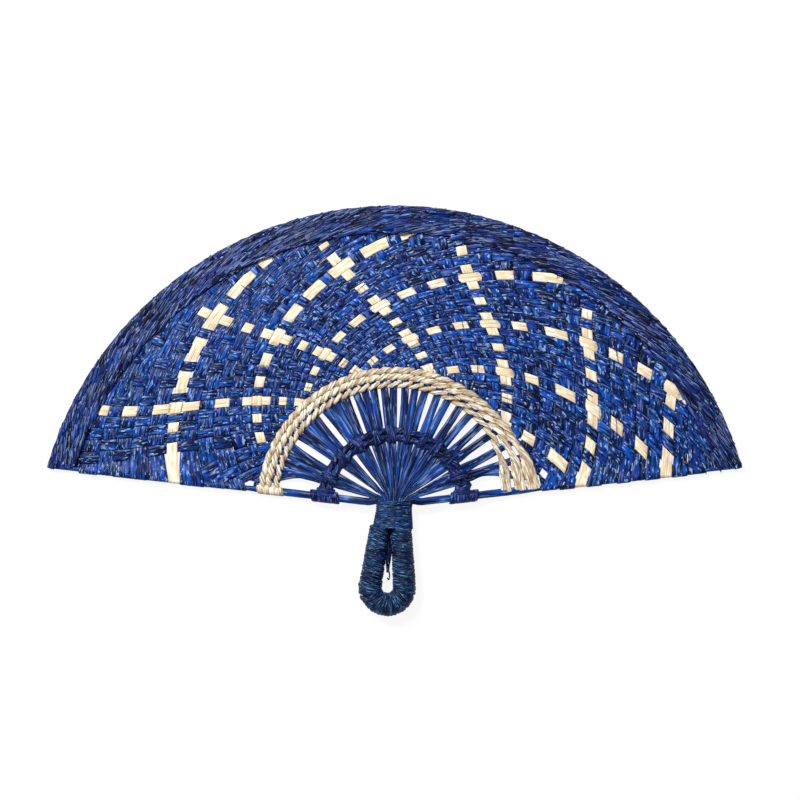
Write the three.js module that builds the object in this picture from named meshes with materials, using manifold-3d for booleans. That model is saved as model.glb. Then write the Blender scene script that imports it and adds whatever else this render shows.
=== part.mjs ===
// Half-moon hand fan, plaited by hand from dyed palm strips.
// Twelve ribs and two edge rods spread from a bound neck. A twined hub and a cream twined arch
// hold them apart. Past the arch every rib strand parts into a strip that leans right and one
// that leans left. More strips hang on the left rod. All of them plait over one, under one, turn
// round the right rod and end between the rows of the border. Below the neck the bundle folds
// into a wound carrying loop.
// The fan is modelled lying flat, front up, with the neck at x = 0, y = 0. Millimetres, degrees.
import * as THREE from 'three';
import { mergeVertices } from 'three/addons/utils/BufferGeometryUtils.js';
import Module from 'manifold-3d';

const wasm = await Module();
wasm.setup();

// Outline of the blade
const RIM_RADIUS = 208.7; // outer edge of the rim
const RIM_DROP = 36.4; // centre of the rim circle, below the neck
const EDGE_RISE = 6.3; // slope of the two bottom edges
const WEAVE_RADIUS = 78; // where the strips leave the rib strands

// Ribs, edge rods and neck
const STRANDS_PER_RIB = [1, 4, 4, 4, 3, 2, 3, 2, 2, 2, 2, 1]; // counted from the left
const ROD_RADIUS = 1.3;
const ROD_SIDES = 8;
const RIB_WIDTH = 8; // most that a bundle measures across
const RIB_THICKNESS = 2;
const RIB_GAP = 1.5; // room for the twining between two ribs at the hub
const RIB_SPLIT_RADIUS = 46; // where a rib opens into its strands
const RIB_SPLIT_LAP = 2; // rib and strands run into each other over this length
const STRAND_WIDTH = 3.2;
const STRAND_CLOSED = 0.7; // share of their spread that the strands have at the split
const STRAND_MARGIN = 1.06; // angle kept free beside each edge rod
const STRAND_CROWDING = 99; // how far the strands gather towards the left of the middle
const NECK_PITCH = 1.3; // ribs stand on edge, side by side, in the neck
const NECK_LENGTH = 14;
const NECK_THICKNESS = 7;
const NECK_STAND = 2; // the outermost members stand upright to this height above the neck's middle
const NECK_FAN_RADIUS = 16; // here the members have their own direction
const NECK_FLAT_RADIUS = 27; // and here they lie flat
const RISE_RADIUS = 66; // the ribs start to climb here

// Plaited strips
const STRIP_THICKNESS = 0.4;
const STRIP_WIDTH_AT_ARCH = 2.8;
const STRIP_WIDTH_AT_RIM = 4;
const STRIP_WIDEST = 9;
const STRIP_FILL = 0.68; // part of its room that a strip takes
const NARROWING = 3; // a strip draws together over this length before the border
const CRIMP = 1.4; // height between the over and the under level
const CREAM_EVERY = 6; // one strip in six is undyed
const FIRST_CREAM = 2;
const RIGHT_LEAN = 107.3; // sweep of a strip that leans right, from the arch to the rim
const RIGHT_LEAN_GROWTH = 5.6; // added to it from the left end of the arch to the right end
const RIGHT_EASE = 0.214; // share of the sweep that is lost at the rim
const LEFT_LEAN = 52.8;
const LEFT_LEAN_AT_RIGHT = 253; // added sweep towards the right edge
const LEFT_LEAN_MIDDLE = 0.339; // place along the arch where nothing is added
const LEFT_EASE = 0.545;
const FOLD_REACH = 1; // a strand runs this far past the start of the plait
const TURN_APPROACH = 2.3; // a strip leaves the plane this far before an edge rod's axis
const RIGHT_TURN_PITCH = 3.3; // angle at the rim between strips that have turned at the right edge
const RIGHT_TURN_OPENING = 0.027; // and what it grows by
const HUNG_STRIPS = 8; // on the left edge rod
const HUNG_FIRST = 92; // distance of the first one from the neck
const HUNG_PITCH = 12.6; // along the rod
const HUNG_CLOSING = 0.25; // and what it shrinks by
const HUNG_CREAM = 3; // place in the row of the undyed one
const HUNG_LANDING = 3.1; // angle between them at the rim
const HUNG_OPENING = 0.012; // and how fast it grows
const HUNG_EASE = 0.3;
const HUNG_KEEP = 1; // more room above the rod for what ends beside them
const HUNG_DRIFT = 4; // they lean away from the neck by this much beside the rod
const FIRST_TURN = 0.05; // a strip that meets an edge rod nearer the arch than this ends there

// Twined rows
const ARCH_RADII = [69, 73, 75.6];
const ARCH_STRAND = 1;
const HUB_RADII = [36.5, 42];
const HUB_STRAND = 1.8;

// Border
const RIM_CORD_WIDTH = 4.4;
const BORDER_ROWS = 3;
const BORDER_ROW_WIDTH = 4.6;
const BORDER_ROW_THICKNESS = 1.2;
const RIM_PROUD = 0.15; // the rim cord stands this much above the rows on both faces
const BORDER_STEPS = 26;

// Handle loop and windings
const LOOP_TOP_LEFT = -8.5; // limb centres under the neck
const LOOP_TOP_RIGHT = 4;
const LOOP_LEFT = -13.8; // limb centres at the widest place
const LOOP_RIGHT = 5.6;
const LOOP_BOTTOM = 64.2; // lowest point of the loop, below the neck
const LOOP_CORE_TOP = 4; // core radius under the neck
const LOOP_CORE_BOTTOM = 5; // core radius in the bend
const LOOP_KNEE = 0.4; // part of a limb that runs straight from the neck
const LOOP_SWELL = 0.7; // how soon the core grows from the neck to the bend
const LOOP_BEND_POINTS = 6;
const LOOP_STEPS = 24;
const LOOP_SIDES = 8;
const WRAP_START = 0.02; // share of the loop left bare at each end
const WRAP_TURNS = 24;
const WRAP_CORD = 1.5;
const WRAP_STEPS = 10;
const BINDING_TURNS = 8;
const BINDING_CORD = 1.25;
const BINDING_STEPS = 16;
const WINDING_SIDES = 4;
const WINDING_GAP = 0.55; // least space between two turns

const CLEARANCE = 0.3; // between pieces that touch
const FLOOR_GAP = 0.6; // the handle hangs this much above the surface that the rim lies on

const BLUE = new THREE.MeshStandardMaterial({ color: 0x1f3a93, roughness: 0.5, metalness: 0 });
const DARK_BLUE = new THREE.MeshStandardMaterial({ color: 0x232a6b, roughness: 0.55, metalness: 0 });
const CREAM = new THREE.MeshStandardMaterial({ color: 0xd9c9a0, roughness: 0.6, metalness: 0 });
const TEAL = new THREE.MeshStandardMaterial({ color: 0x1f3d63, roughness: 0.6, metalness: 0 });

const DEG = Math.PI / 180;
const UP = new THREE.Vector3(0, 0, 1);
const DOWN = new THREE.Vector3(0, 0, -1);
const vec = (x, y, z) => new THREE.Vector3(x, y, z);
const polar = (radius, angle, z) => vec(radius * Math.cos(angle), radius * Math.sin(angle), z);
const mix = THREE.MathUtils.lerp;
const meshes = [];

function piece(name, geometry, material) {
  const mesh = new THREE.Mesh(geometry, material);
  mesh.name = name;
  meshes.push(mesh);
}

// Root of a function that changes sign between two values
function rootBetween(low, high, f) {
  const signLow = Math.sign(f(low));
  let a = low;
  let b = high;
  for (let step = 0; step < 50; step++) {
    const middle = (a + b) / 2;
    if (Math.sign(f(middle)) === signLow) a = middle;
    else b = middle;
  }
  return (a + b) / 2;
}

// Closed body through rings that have the same number of points; twisted sides bulge outwards
function sweep(rings) {
  const sides = rings[0].length;
  const last = (rings.length - 1) * sides;
  const points = rings.flat();
  const inside = (a, b, c, d) => {
    const [p, q, r] = [b, c, d].map((corner) => points[corner].clone().sub(points[a]));
    return p.cross(q).dot(r);
  };
  const corners = [];
  for (let start = 0; start < last; start += sides) {
    for (let side = 0; side < sides; side++) {
      const a = start + side;
      const b = start + ((side + 1) % sides);
      corners.push([a, b, b + sides, a + sides]);
    }
  }
  const ends = [];
  for (let side = 1; side + 1 < sides; side++) {
    ends.push([0, side + 1, side], [last, last + side, last + side + 1]);
  }
  const split = corners.flatMap(([a, b, c, d]) => [[a, b, c], [a, c, d]]);
  let volume = 0;
  for (const [a, b, c] of [...split, ...ends]) volume += points[a].dot(points[b].clone().cross(points[c]));
  const turn = Math.sign(volume);
  const faces = corners.flatMap(([a, b, c, d]) => {
    return turn * inside(a, b, c, d) < 0 ? [[a, b, c], [a, c, d]] : [[a, b, d], [b, c, d]];
  });
  faces.push(...ends);
  const outward = turn > 0 ? faces : faces.map(([a, b, c]) => [a, c, b]);
  const geometry = new THREE.BufferGeometry().setFromPoints(points);
  geometry.setIndex(outward.flat());
  geometry.computeVertexNormals();
  return geometry;
}

function solidOf(geometry) {
  const bare = geometry.clone();
  bare.deleteAttribute('normal');
  const merged = mergeVertices(bare, 1e-4);
  const vertProperties = new Float32Array(merged.attributes.position.array);
  const triVerts = new Uint32Array(merged.index.array);
  return new wasm.Manifold(new wasm.Mesh({ numProp: 3, vertProperties, triVerts }));
}

// One body from pieces that grow out of each other
function fuse(geometries) {
  let body = solidOf(geometries[0]);
  for (const geometry of geometries.slice(1)) body = body.add(solidOf(geometry));
  const mesh = body.getMesh();
  const geometry = new THREE.BufferGeometry();
  geometry.setAttribute('position', new THREE.BufferAttribute(new Float32Array(mesh.vertProperties), 3));
  geometry.setIndex(new THREE.BufferAttribute(new Uint32Array(mesh.triVerts), 1));
  geometry.computeVertexNormals();
  return geometry;
}

// Four-sided section; across and up are unit vectors
function barRing(centre, across, up, width, thickness) {
  const side = across.clone().multiplyScalar(width / 2);
  const rise = up.clone().multiplyScalar(thickness / 2);
  return [
    centre.clone().sub(side).sub(rise),
    centre.clone().add(side).sub(rise),
    centre.clone().add(side).add(rise),
    centre.clone().sub(side).add(rise),
  ];
}

// Oval section with any number of sides
function ovalRing(centre, across, up, width, thickness, sides) {
  const ring = [];
  for (let side = 0; side < sides; side++) {
    const turn = (2 * Math.PI * (side + 0.5)) / sides;
    const point = centre.clone().addScaledVector(across, (width / 2) * Math.cos(turn));
    ring.push(point.addScaledVector(up, (thickness / 2) * Math.sin(turn)));
  }
  return ring;
}

// Palm strip: flat on one face, with the low ridge of its fold on the other
function stripRing(centre, across, up, low, high) {
  const edges = [centre.clone().addScaledVector(across, -low), centre.clone().addScaledVector(across, high)];
  return [...edges, edges[0].clone().lerp(edges[1], 0.5).addScaledVector(up, STRIP_THICKNESS)];
}

// Places of the ribs, strands and strips
const EDGE = EDGE_RISE * DEG;
const MARGIN = STRAND_MARGIN * DEG;
const LEFT_START = Math.PI - EDGE - MARGIN;
const SPREAD = LEFT_START - EDGE - MARGIN;
const RIBS = STRANDS_PER_RIB.length;
const STRANDS = STRANDS_PER_RIB.reduce((sum, count) => sum + count, 0);
const share = (index) => (index + 0.5) / STRANDS;

function strandAngle(index) {
  const s = share(index);
  return LEFT_START - SPREAD * s + STRAND_CROWDING * DEG * s * s * (1 - s);
}

// Part of its sweep that a strip has made at depth v, which is 0 at the arch and 1 at the rim
const eased = (v, ease) => v * (1 - ease * v);

function rightSweep(v, index) {
  const lean = RIGHT_LEAN + RIGHT_LEAN_GROWTH * (share(index) - 0.5);
  return lean * DEG * eased(v, RIGHT_EASE);
}

function leftSweep(v, index) {
  const lean = LEFT_LEAN + LEFT_LEAN_AT_RIGHT * (share(index) - LEFT_LEAN_MIDDLE) ** 3;
  return lean * DEG * eased(v, LEFT_EASE);
}

// Circles of equal depth slide from the neck to the rim's own centre
function bladePoint(angle, v, z) {
  const radius = mix(WEAVE_RADIUS, RIM_RADIUS, v);
  return polar(radius, angle, z).add(vec(0, -RIM_DROP * v, 0));
}

// Distance of a point above the bottom edge on one side, 1 for right and -1 for left
const aboveEdge = (point, side) => point.y * Math.cos(EDGE) - side * point.x * Math.sin(EDGE);
const edgeAlong = (side) => vec(side * Math.cos(EDGE), Math.sin(EDGE), 0);
const edgeOut = (side) => vec(side * Math.sin(EDGE), -Math.cos(EDGE), 0);

// Distance of a point inside the outer edge of the rim
const insideRim = (point) => RIM_RADIUS - Math.hypot(point.x, point.y + RIM_DROP);
const RIM_INNER = RIM_RADIUS - RIM_CORD_WIDTH;
const BORDER_DEPTH = RIM_CORD_WIDTH + BORDER_ROWS * (BORDER_ROW_WIDTH + CLEARANCE);
const STRIP_END_DEPTH = RIM_CORD_WIDTH + CLEARANCE + STRIP_WIDTH_AT_RIM / 2;
const SETTLE_DEPTH = BORDER_DEPTH + STRIP_WIDTH_AT_RIM; // strips sort into two layers from here on
const STRIP_KEEP = ROD_RADIUS + CLEARANCE + STRIP_WIDTH_AT_RIM / 2;
const ROW_KEEP = ROD_RADIUS + 3 * CLEARANCE + STRIP_THICKNESS;

// Levels, counted from the middle plane of the blade
const STRIP_TOP = CRIMP / 2 + STRIP_THICKNESS;
const ROW_LOW = STRIP_TOP + CLEARANCE;
const ROW_HIGH = ROW_LOW + BORDER_ROW_THICKNESS;
const RIM_HIGH = ROW_HIGH + RIM_PROUD;
const wrapRadius = (core) => core + CLEARANCE + WRAP_CORD;
const NECK_RISE = wrapRadius(LOOP_CORE_BOTTOM) + FLOOR_GAP - RIM_HIGH;

// A leg is one leaning run of a strip, from the arch or an edge rod to the border or a rod
function leg(leansRight, index, start, angle) {
  const pointAt = (v, z) => bladePoint(angle(v), v, z);
  const side = leansRight ? 1 : -1;
  const depthAt = (v, depth) => insideRim(pointAt(v, 0)) - depth;
  const keep = leansRight ? STRIP_KEEP : STRIP_KEEP + HUNG_KEEP;
  const heightAt = (v, least) => aboveEdge(pointAt(v, 0), side) - least;
  const run = { leansRight, index, start, angle, pointAt, turns: false, crossings: [] };
  run.border = rootBetween(start, 1, (v) => depthAt(v, BORDER_DEPTH));
  run.end = rootBetween(start, 1, (v) => depthAt(v, STRIP_END_DEPTH));
  const settle = rootBetween(start, 1, (v) => depthAt(v, SETTLE_DEPTH));
  const meetsRod = heightAt(settle, 0) < 0 ? rootBetween(start + 0.001, settle, (v) => heightAt(v, 0)) : 1;
  if (leansRight && meetsRod > FIRST_TURN && meetsRod < 1) {
    run.end = meetsRod;
    run.turns = true;
  } else if (heightAt(run.end, keep) < 0) {
    run.end = rootBetween(start, run.end, (v) => heightAt(v, keep));
    if (!leansRight) run.end = betweenHung(run);
  }
  return run;
}

// A strip that comes down on the left rod ends half way between two of those that hang there
const hungFoot = (place) => HUNG_FIRST + (HUNG_PITCH - HUNG_CLOSING * place) * place;
function betweenHung(run) {
  const alongRod = (v) => run.pointAt(v, 0).dot(edgeAlong(-1)) - HUNG_DRIFT;
  let place = 0;
  while (hungFoot(place + 0.5) < alongRod(run.end)) place++;
  return place === 0 ? run.end : rootBetween(run.start, run.end, (v) => alongRod(v) - hungFoot(place - 0.5));
}

// A run that starts at a rod goes from there to its landing on the rim
function fromRod(leansRight, index, start, from, landing, ease) {
  const part = (v) => eased(v, ease) - eased(start, ease);
  return leg(leansRight, index, start, (v) => from + ((landing - from) * part(v)) / part(1));
}

// The run that follows a turn leans left and lands one place further along the rim
function turned(first) {
  const last = STRANDS - 1;
  const places = STRANDS - first.index;
  const onward = (RIGHT_TURN_PITCH + RIGHT_TURN_OPENING * places) * places * DEG;
  const landing = strandAngle(last) + leftSweep(1, last) - onward;
  return fromRod(false, STRANDS + places, first.end, first.angle(first.end), landing, LEFT_EASE);
}

function hung(place) {
  const foot = edgeAlong(-1).multiplyScalar(hungFoot(place));
  const height = (v) => foot.y + RIM_DROP * v;
  const start = rootBetween(0, 1, (v) => Math.hypot(foot.x, height(v)) - mix(WEAVE_RADIUS, RIM_RADIUS, v));
  const onward = (HUNG_LANDING + HUNG_OPENING * (place + 1) ** 2) * (place + 1) * DEG;
  const landing = strandAngle(0) - rightSweep(1, 0) + onward;
  return fromRod(true, -1 - place, start, Math.atan2(height(start), foot.x), landing, HUNG_EASE);
}

const courses = [];
for (let index = 0; index < STRANDS; index++) {
  const base = strandAngle(index);
  const right = leg(true, index, 0, (v) => base - rightSweep(v, index));
  const left = leg(false, index, 0, (v) => base + leftSweep(v, index));
  courses.push({ strand: index, legs: right.turns ? [right, turned(right)] : [right] });
  courses.push({ strand: index, legs: [left] });
}
const hungCourses = Array.from({ length: HUNG_STRIPS }, (unused, place) => ({ place, legs: [hung(place)] }));

// Crossings: over one, under one, and every right-leaning strip on top inside the border
const legs = [...courses, ...hungCourses].flatMap((course) => course.legs);
for (const right of legs.filter((run) => run.leansRight)) {
  for (const left of legs.filter((run) => !run.leansRight)) {
    const low = Math.max(right.start, left.start);
    const high = Math.min(right.end, left.end);
    const apart = (v) => right.angle(v) - left.angle(v);
    if (low >= high || apart(low) <= 0 || apart(high) >= 0) continue;
    const v = rootBetween(low, high, apart);
    const point = right.pointAt(v, 0);
    const depth = insideRim(point);
    if (depth < BORDER_DEPTH) continue;
    const rightOver = depth < SETTLE_DEPTH || (right.index + left.index) % 2 === 0;
    const crossing = { v, point, right, left, rightOver };
    right.crossings.push(crossing);
    left.crossings.push(crossing);
  }
}
for (const run of legs) run.crossings.sort((a, b) => a.v - b.v);

const HEADING_STEP = 0.001; // depth over which a direction is taken
function heading(run, v) {
  return run.pointAt(v + HEADING_STEP, 0).sub(run.pointAt(v - HEADING_STEP, 0)).normalize();
}

// Half widths of a strip at a crossing, along the strip that it crosses, before and behind it
function halfWidths(run, other, crossing) {
  const slant = Math.abs(heading(run, crossing.v).cross(heading(other, crossing.v)).z);
  const most = STRIP_WIDEST / slant;
  const places = other.crossings.map(({ point }) => point);
  const next = other.crossings.indexOf(crossing) + 1;
  const before = places[next - 2] ?? other.pointAt(other.start, 0);
  const behind = places[next] ?? other.pointAt(other.end, 0);
  return [before, behind].map((point) => Math.min(most, STRIP_FILL * point.distanceTo(crossing.point)) / 2);
}

// Ring where a strip crosses another, cut along that one; a strip that has turned lies face down
function crossingRing(run, crossing, faceDown) {
  const level = run.leansRight === crossing.rightOver ? CRIMP / 2 : -CRIMP / 2;
  if (narrows(run, crossing)) return squareRing(run, crossing.v, level, faceDown);
  const other = run.leansRight ? crossing.left : crossing.right;
  const up = faceDown ? DOWN : UP;
  const across = heading(other, crossing.v);
  const [low, high] = halfWidths(run, other, crossing);
  const centre = run.pointAt(crossing.v, level);
  const alike = across.dot(up.clone().cross(heading(run, crossing.v))) > 0;
  return alike ? stripRing(centre, across, up, low, high) : stripRing(centre, across.negate(), up, high, low);
}

// True where a strip draws together, before the border and on both sides of an edge rod
function narrows(run, crossing) {
  const beforeRod = run.turns && crossing === run.crossings.at(-1);
  const afterRod = run.start > 0 && crossing === run.crossings[0];
  return beforeRod || afterRod || insideRim(crossing.point) < SETTLE_DEPTH + NARROWING;
}

// Ring square to a strip, at the arch, beside an edge rod or in the border
const squareWidth = (v) => mix(STRIP_WIDTH_AT_ARCH, STRIP_WIDTH_AT_RIM, v);
function squareRing(run, v, level, faceDown) {
  const up = faceDown ? DOWN : UP;
  const half = squareWidth(v) / 2;
  return stripRing(run.pointAt(v, level), up.clone().cross(heading(run, v)), up, half, half);
}

// Rings from under the edge rod that a run starts at, round it and on top
const TURN_ANGLES = [67.5, 22.5, -22.5, -67.5];
function turnRings(run) {
  const side = run.leansRight ? -1 : 1;
  const reach = ROD_RADIUS + CLEARANCE + STRIP_THICKNESS;
  const half = squareWidth(run.start) / 2;
  const out = edgeOut(side);
  const across = UP.clone().cross(out);
  const foot = edgeAlong(side).multiplyScalar(run.pointAt(run.start, 0).dot(edgeAlong(side)));
  const edge = foot.clone().addScaledVector(out, -TURN_APPROACH);
  const flat = (level, up) => stripRing(edge.clone().setZ(level), across, up, half, half);
  const rings = [flat(-reach, UP)];
  for (const turn of TURN_ANGLES) {
    const inward = out.clone().multiplyScalar(-Math.cos(turn * DEG));
    inward.addScaledVector(UP, Math.sin(turn * DEG));
    rings.push(stripRing(foot.clone().addScaledVector(inward, -reach), across, inward, half, half));
  }
  rings.push(flat(reach, DOWN));
  return rings;
}

// A strip that has come round a rod lies face down
function courseGeometry(course) {
  const rings = [];
  for (const run of course.legs) {
    const faceDown = run.start > 0;
    const level = run.leansRight ? CRIMP / 2 : -CRIMP / 2;
    if (faceDown) rings.push(...turnRings(run));
    else rings.push(squareRing(run, 0, level, faceDown));
    for (const crossing of run.crossings) rings.push(crossingRing(run, crossing, faceDown));
    if (run.turns) continue;
    if (run.end > run.border) rings.push(squareRing(run, run.border, level, faceDown));
    rings.push(squareRing(run, run.end, level, faceDown));
  }
  return sweep(rings);
}

// Ribs: each stands on edge in the neck, opens into a flat bundle and parts into strands
const within = (low, high, value) => THREE.MathUtils.clamp((value - low) / (high - low), 0, 1);
const climb = (radius) => NECK_RISE * within(RISE_RADIUS, NECK_LENGTH, radius);
const MEMBERS = RIBS + 2;
const NECK_HALF = ((MEMBERS - 1) / 2) * NECK_PITCH;
const NECK_BAR = NECK_PITCH - CLEARANCE;
const NECK_FLATTENING = 0.6; // share of the way from upright to flat, where the members fan out
const STRAND_THICKNESS = CRIMP + CLEARANCE;
const isCream = (index) => index % CREAM_EVERY === FIRST_CREAM;

// Rings from the foot of the neck to where the member lies flat; spread gives its direction and width
function neckRings(member, spread, thickness, ringOf) {
  const x = member * NECK_PITCH - NECK_HALF;
  const tall = NECK_THICKNESS * Math.sqrt(1 - ((Math.abs(x) + NECK_BAR / 2) / (NECK_HALF + NECK_BAR)) ** 2);
  const bend = NECK_STAND + MEMBERS / 2 - Math.abs(x / NECK_PITCH);
  const left = vec(-1, 0, 0);
  const mitre = UP.clone().cross(polar(1, (Math.PI / 2 + spread(NECK_FAN_RADIUS).angle) / 2, 0));
  const fanned = mix(tall, thickness, NECK_FLATTENING);
  return [
    ringOf(vec(x, -NECK_LENGTH, NECK_RISE), left, UP, NECK_BAR, tall),
    ringOf(vec(x, bend, NECK_RISE), mitre, UP, NECK_BAR / mitre.dot(left), tall),
    spreadRing(spread, NECK_FAN_RADIUS, fanned, ringOf),
    spreadRing(spread, NECK_FLAT_RADIUS, thickness, ringOf),
  ];
}

function spreadRing(spread, radius, thickness, ringOf) {
  const { angle, width } = spread(radius);
  const across = UP.clone().cross(polar(1, angle, 0));
  return ringOf(polar(radius, angle, climb(radius)), across, UP, width, thickness);
}

const ribStrands = [];
let firstStrand = 0;
for (const count of STRANDS_PER_RIB) {
  ribStrands.push(Array.from({ length: count }, (unused, place) => firstStrand + place));
  firstStrand += count;
}

// Edge rods keep their direction and grow to their full width where they lie flat
const rodWidth = (radius) => mix(NECK_BAR, 2 * ROD_RADIUS, within(NECK_LENGTH, NECK_FLAT_RADIUS, radius));
const rodAngle = (side) => (side > 0 ? EDGE : Math.PI - EDGE);
const rodSpread = (side) => (radius) => ({ angle: rodAngle(side), width: rodWidth(radius) });

// Direction and width of a rib: it fills the sector between its neighbours, less the room for twining
function ribSpread(rib) {
  const strands = ribStrands[rib];
  const between = (index) => (strandAngle(index - 1) + strandAngle(index)) / 2;
  return (radius) => {
    const rodSide = EDGE + rodWidth(radius) / 2 / radius;
    const left = rib === 0 ? Math.PI - rodSide : between(strands[0]);
    const right = rib === RIBS - 1 ? rodSide : between(strands.at(-1) + 1);
    const gap = mix(CLEARANCE, RIB_GAP, within(NECK_FAN_RADIUS, HUB_RADII[0], radius));
    const width = Math.min(RIB_WIDTH, (left - right) * radius - gap);
    return { angle: (left + right) / 2, width };
  };
}

function strandGeometry(rib, index) {
  const start = RIB_SPLIT_RADIUS - RIB_SPLIT_LAP;
  const reach = isCream(index) ? WEAVE_RADIUS - FOLD_REACH - CLEARANCE : WEAVE_RADIUS + FOLD_REACH;
  const rings = [start, RISE_RADIUS, reach].map((radius) => {
    const spread = mix(STRAND_CLOSED, 1, within(RIB_SPLIT_RADIUS, RISE_RADIUS, radius));
    const angle = mix(ribSpread(rib)(radius).angle, strandAngle(index), spread);
    return spreadRing(() => ({ angle, width: STRAND_WIDTH }), radius, STRAND_THICKNESS, barRing);
  });
  return sweep(rings);
}

for (let rib = 0; rib < RIBS; rib++) {
  const spread = ribSpread(rib);
  const bundle = neckRings(rib + 1, spread, RIB_THICKNESS, barRing);
  for (const radius of [HUB_RADII[0], RIB_SPLIT_RADIUS + RIB_SPLIT_LAP]) {
    bundle.push(spreadRing(spread, radius, RIB_THICKNESS, barRing));
  }
  const strands = ribStrands[rib].map((index) => strandGeometry(rib, index));
  const dyed = ribStrands[rib].filter((index) => !isCream(index));
  const strips = courses.filter((course) => dyed.includes(course.strand));
  const number = String(rib + 1).padStart(2, '0');
  piece(`rib_${number}`, fuse([sweep(bundle), ...strands, ...strips.map(courseGeometry)]), BLUE);
}

// Cream strips: folded over at the arch, one arm leaning right and one leaning left
for (let index = FIRST_CREAM; index < STRANDS; index += CREAM_EVERY) {
  const straight = () => ({ angle: strandAngle(index), width: STRAND_WIDTH });
  const foldRing = (radius) => spreadRing(straight, radius, STRAND_THICKNESS, barRing);
  const fold = sweep([foldRing(WEAVE_RADIUS - FOLD_REACH), foldRing(WEAVE_RADIUS + FOLD_REACH)]);
  const arms = courses.filter((course) => course.strand === index).map(courseGeometry);
  const number = (index - FIRST_CREAM) / CREAM_EVERY + 1;
  piece(`cream_strip_${number}`, fuse([fold, ...arms]), CREAM);
}

// Strips that hang on the left edge rod
for (const course of hungCourses) {
  const number = String(course.place + 1).padStart(2, '0');
  piece(`hung_strip_${number}`, courseGeometry(course), course.place === HUNG_CREAM ? CREAM : BLUE);
}

// Edge rods along the two bottom edges, ending against the rim cord
for (const side of [-1, 1]) {
  const fromRim = (radius) => edgeAlong(side).multiplyScalar(radius).add(vec(0, RIM_DROP, 0)).length();
  const tip = rootBetween(WEAVE_RADIUS, RIM_RADIUS, (radius) => fromRim(radius) - RIM_INNER + CLEARANCE);
  const ringOf = (...shape) => ovalRing(...shape, ROD_SIDES);
  const rings = neckRings(side > 0 ? MEMBERS - 1 : 0, rodSpread(side), 2 * ROD_RADIUS, ringOf);
  for (const radius of [RISE_RADIUS, tip]) {
    rings.push(spreadRing(rodSpread(side), radius, 2 * ROD_RADIUS, ringOf));
  }
  piece(side > 0 ? 'edge_rod_right' : 'edge_rod_left', sweep(rings), BLUE);
}

// Twining strand: three-sided, with its crown away from the neck
function strandRing(centre, outward, size) {
  const side = outward.clone().multiplyScalar(size / 2);
  const rise = vec(0, 0, size / 2);
  const heel = centre.clone().sub(side);
  return [heel.clone().sub(rise), centre.clone().add(side), heel.clone().add(rise)];
}

// Twined row: two strands that change faces between the members that they hold
function twine(name, radius, members, strand, material) {
  const swing = (strand + CLEARANCE) / 2;
  const level = climb(radius);
  for (const phase of [0, 1]) {
    const sign = (place) => ((place + phase) % 2 ? -1 : 1);
    const rings = [];
    members.forEach((member, place) => {
      const z = level + sign(place) * (member.thickness / 2 + CLEARANCE + strand / 2);
      const reach = (member.width / 2 + CLEARANCE) / radius;
      for (const [turn, gap] of [[reach, place - 1], [-reach, place]]) {
        const angle = member.angle + turn;
        const centre = polar(radius + sign(Math.max(0, gap)) * swing, angle, z);
        rings.push(strandRing(centre, polar(1, angle, 0), strand));
      }
    });
    piece(`${name}_${phase ? 'back' : 'front'}`, sweep(rings), material);
  }
}

const rodMember = (angle) => ({ angle, width: 2 * ROD_RADIUS, thickness: 2 * ROD_RADIUS });
const withRods = (members) => [rodMember(Math.PI - EDGE), ...members, rodMember(EDGE)];
const ribMembers = (radius) => {
  return ribStrands.map((unused, rib) => ({ ...ribSpread(rib)(radius), thickness: RIB_THICKNESS }));
};
const strandMembers = ribStrands.flat().map((index) => {
  return { angle: strandAngle(index), width: STRAND_WIDTH, thickness: STRAND_THICKNESS };
});
HUB_RADII.forEach((radius, row) => {
  twine(`hub_twine_${row + 1}`, radius, withRods(ribMembers(radius)), HUB_STRAND, DARK_BLUE);
});
ARCH_RADII.forEach((radius, row) => {
  twine(`arch_twine_${row + 1}`, radius, withRods(strandMembers), ARCH_STRAND, CREAM);
});

// Border: rows before and behind the strip ends, and the rim cord that closes the edge
const rimPoint = (radius, angle, z) => polar(radius, angle, z).add(vec(0, -RIM_DROP, 0));
function borderArc(radius, keep, width, low, high) {
  const reach = (side) => rootBetween(0, Math.PI / 2, (lift) => {
    return aboveEdge(rimPoint(radius, side > 0 ? lift : Math.PI - lift, 0), side) - keep;
  });
  const first = reach(1);
  const last = Math.PI - reach(-1);
  const rings = [];
  for (let step = 0; step <= BORDER_STEPS; step++) {
    const angle = mix(first, last, step / BORDER_STEPS);
    rings.push(barRing(rimPoint(radius, angle, (low + high) / 2), polar(1, angle, 0), UP, width, high - low));
  }
  return sweep(rings);
}

for (let row = 0; row < BORDER_ROWS; row++) {
  const radius = RIM_INNER - CLEARANCE - BORDER_ROW_WIDTH / 2 - row * (BORDER_ROW_WIDTH + CLEARANCE);
  const front = borderArc(radius, ROW_KEEP, BORDER_ROW_WIDTH, ROW_LOW, ROW_HIGH);
  const back = borderArc(radius, ROW_KEEP, BORDER_ROW_WIDTH, -ROW_HIGH, -ROW_LOW);
  piece(`border_row_${row + 1}_front`, front, DARK_BLUE);
  piece(`border_row_${row + 1}_back`, back, DARK_BLUE);
}
const rimCord = borderArc(RIM_RADIUS - RIM_CORD_WIDTH / 2, -ROD_RADIUS, RIM_CORD_WIDTH, -RIM_HIGH, RIM_HIGH);
piece('rim_cord', rimCord, DARK_BLUE);

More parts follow.
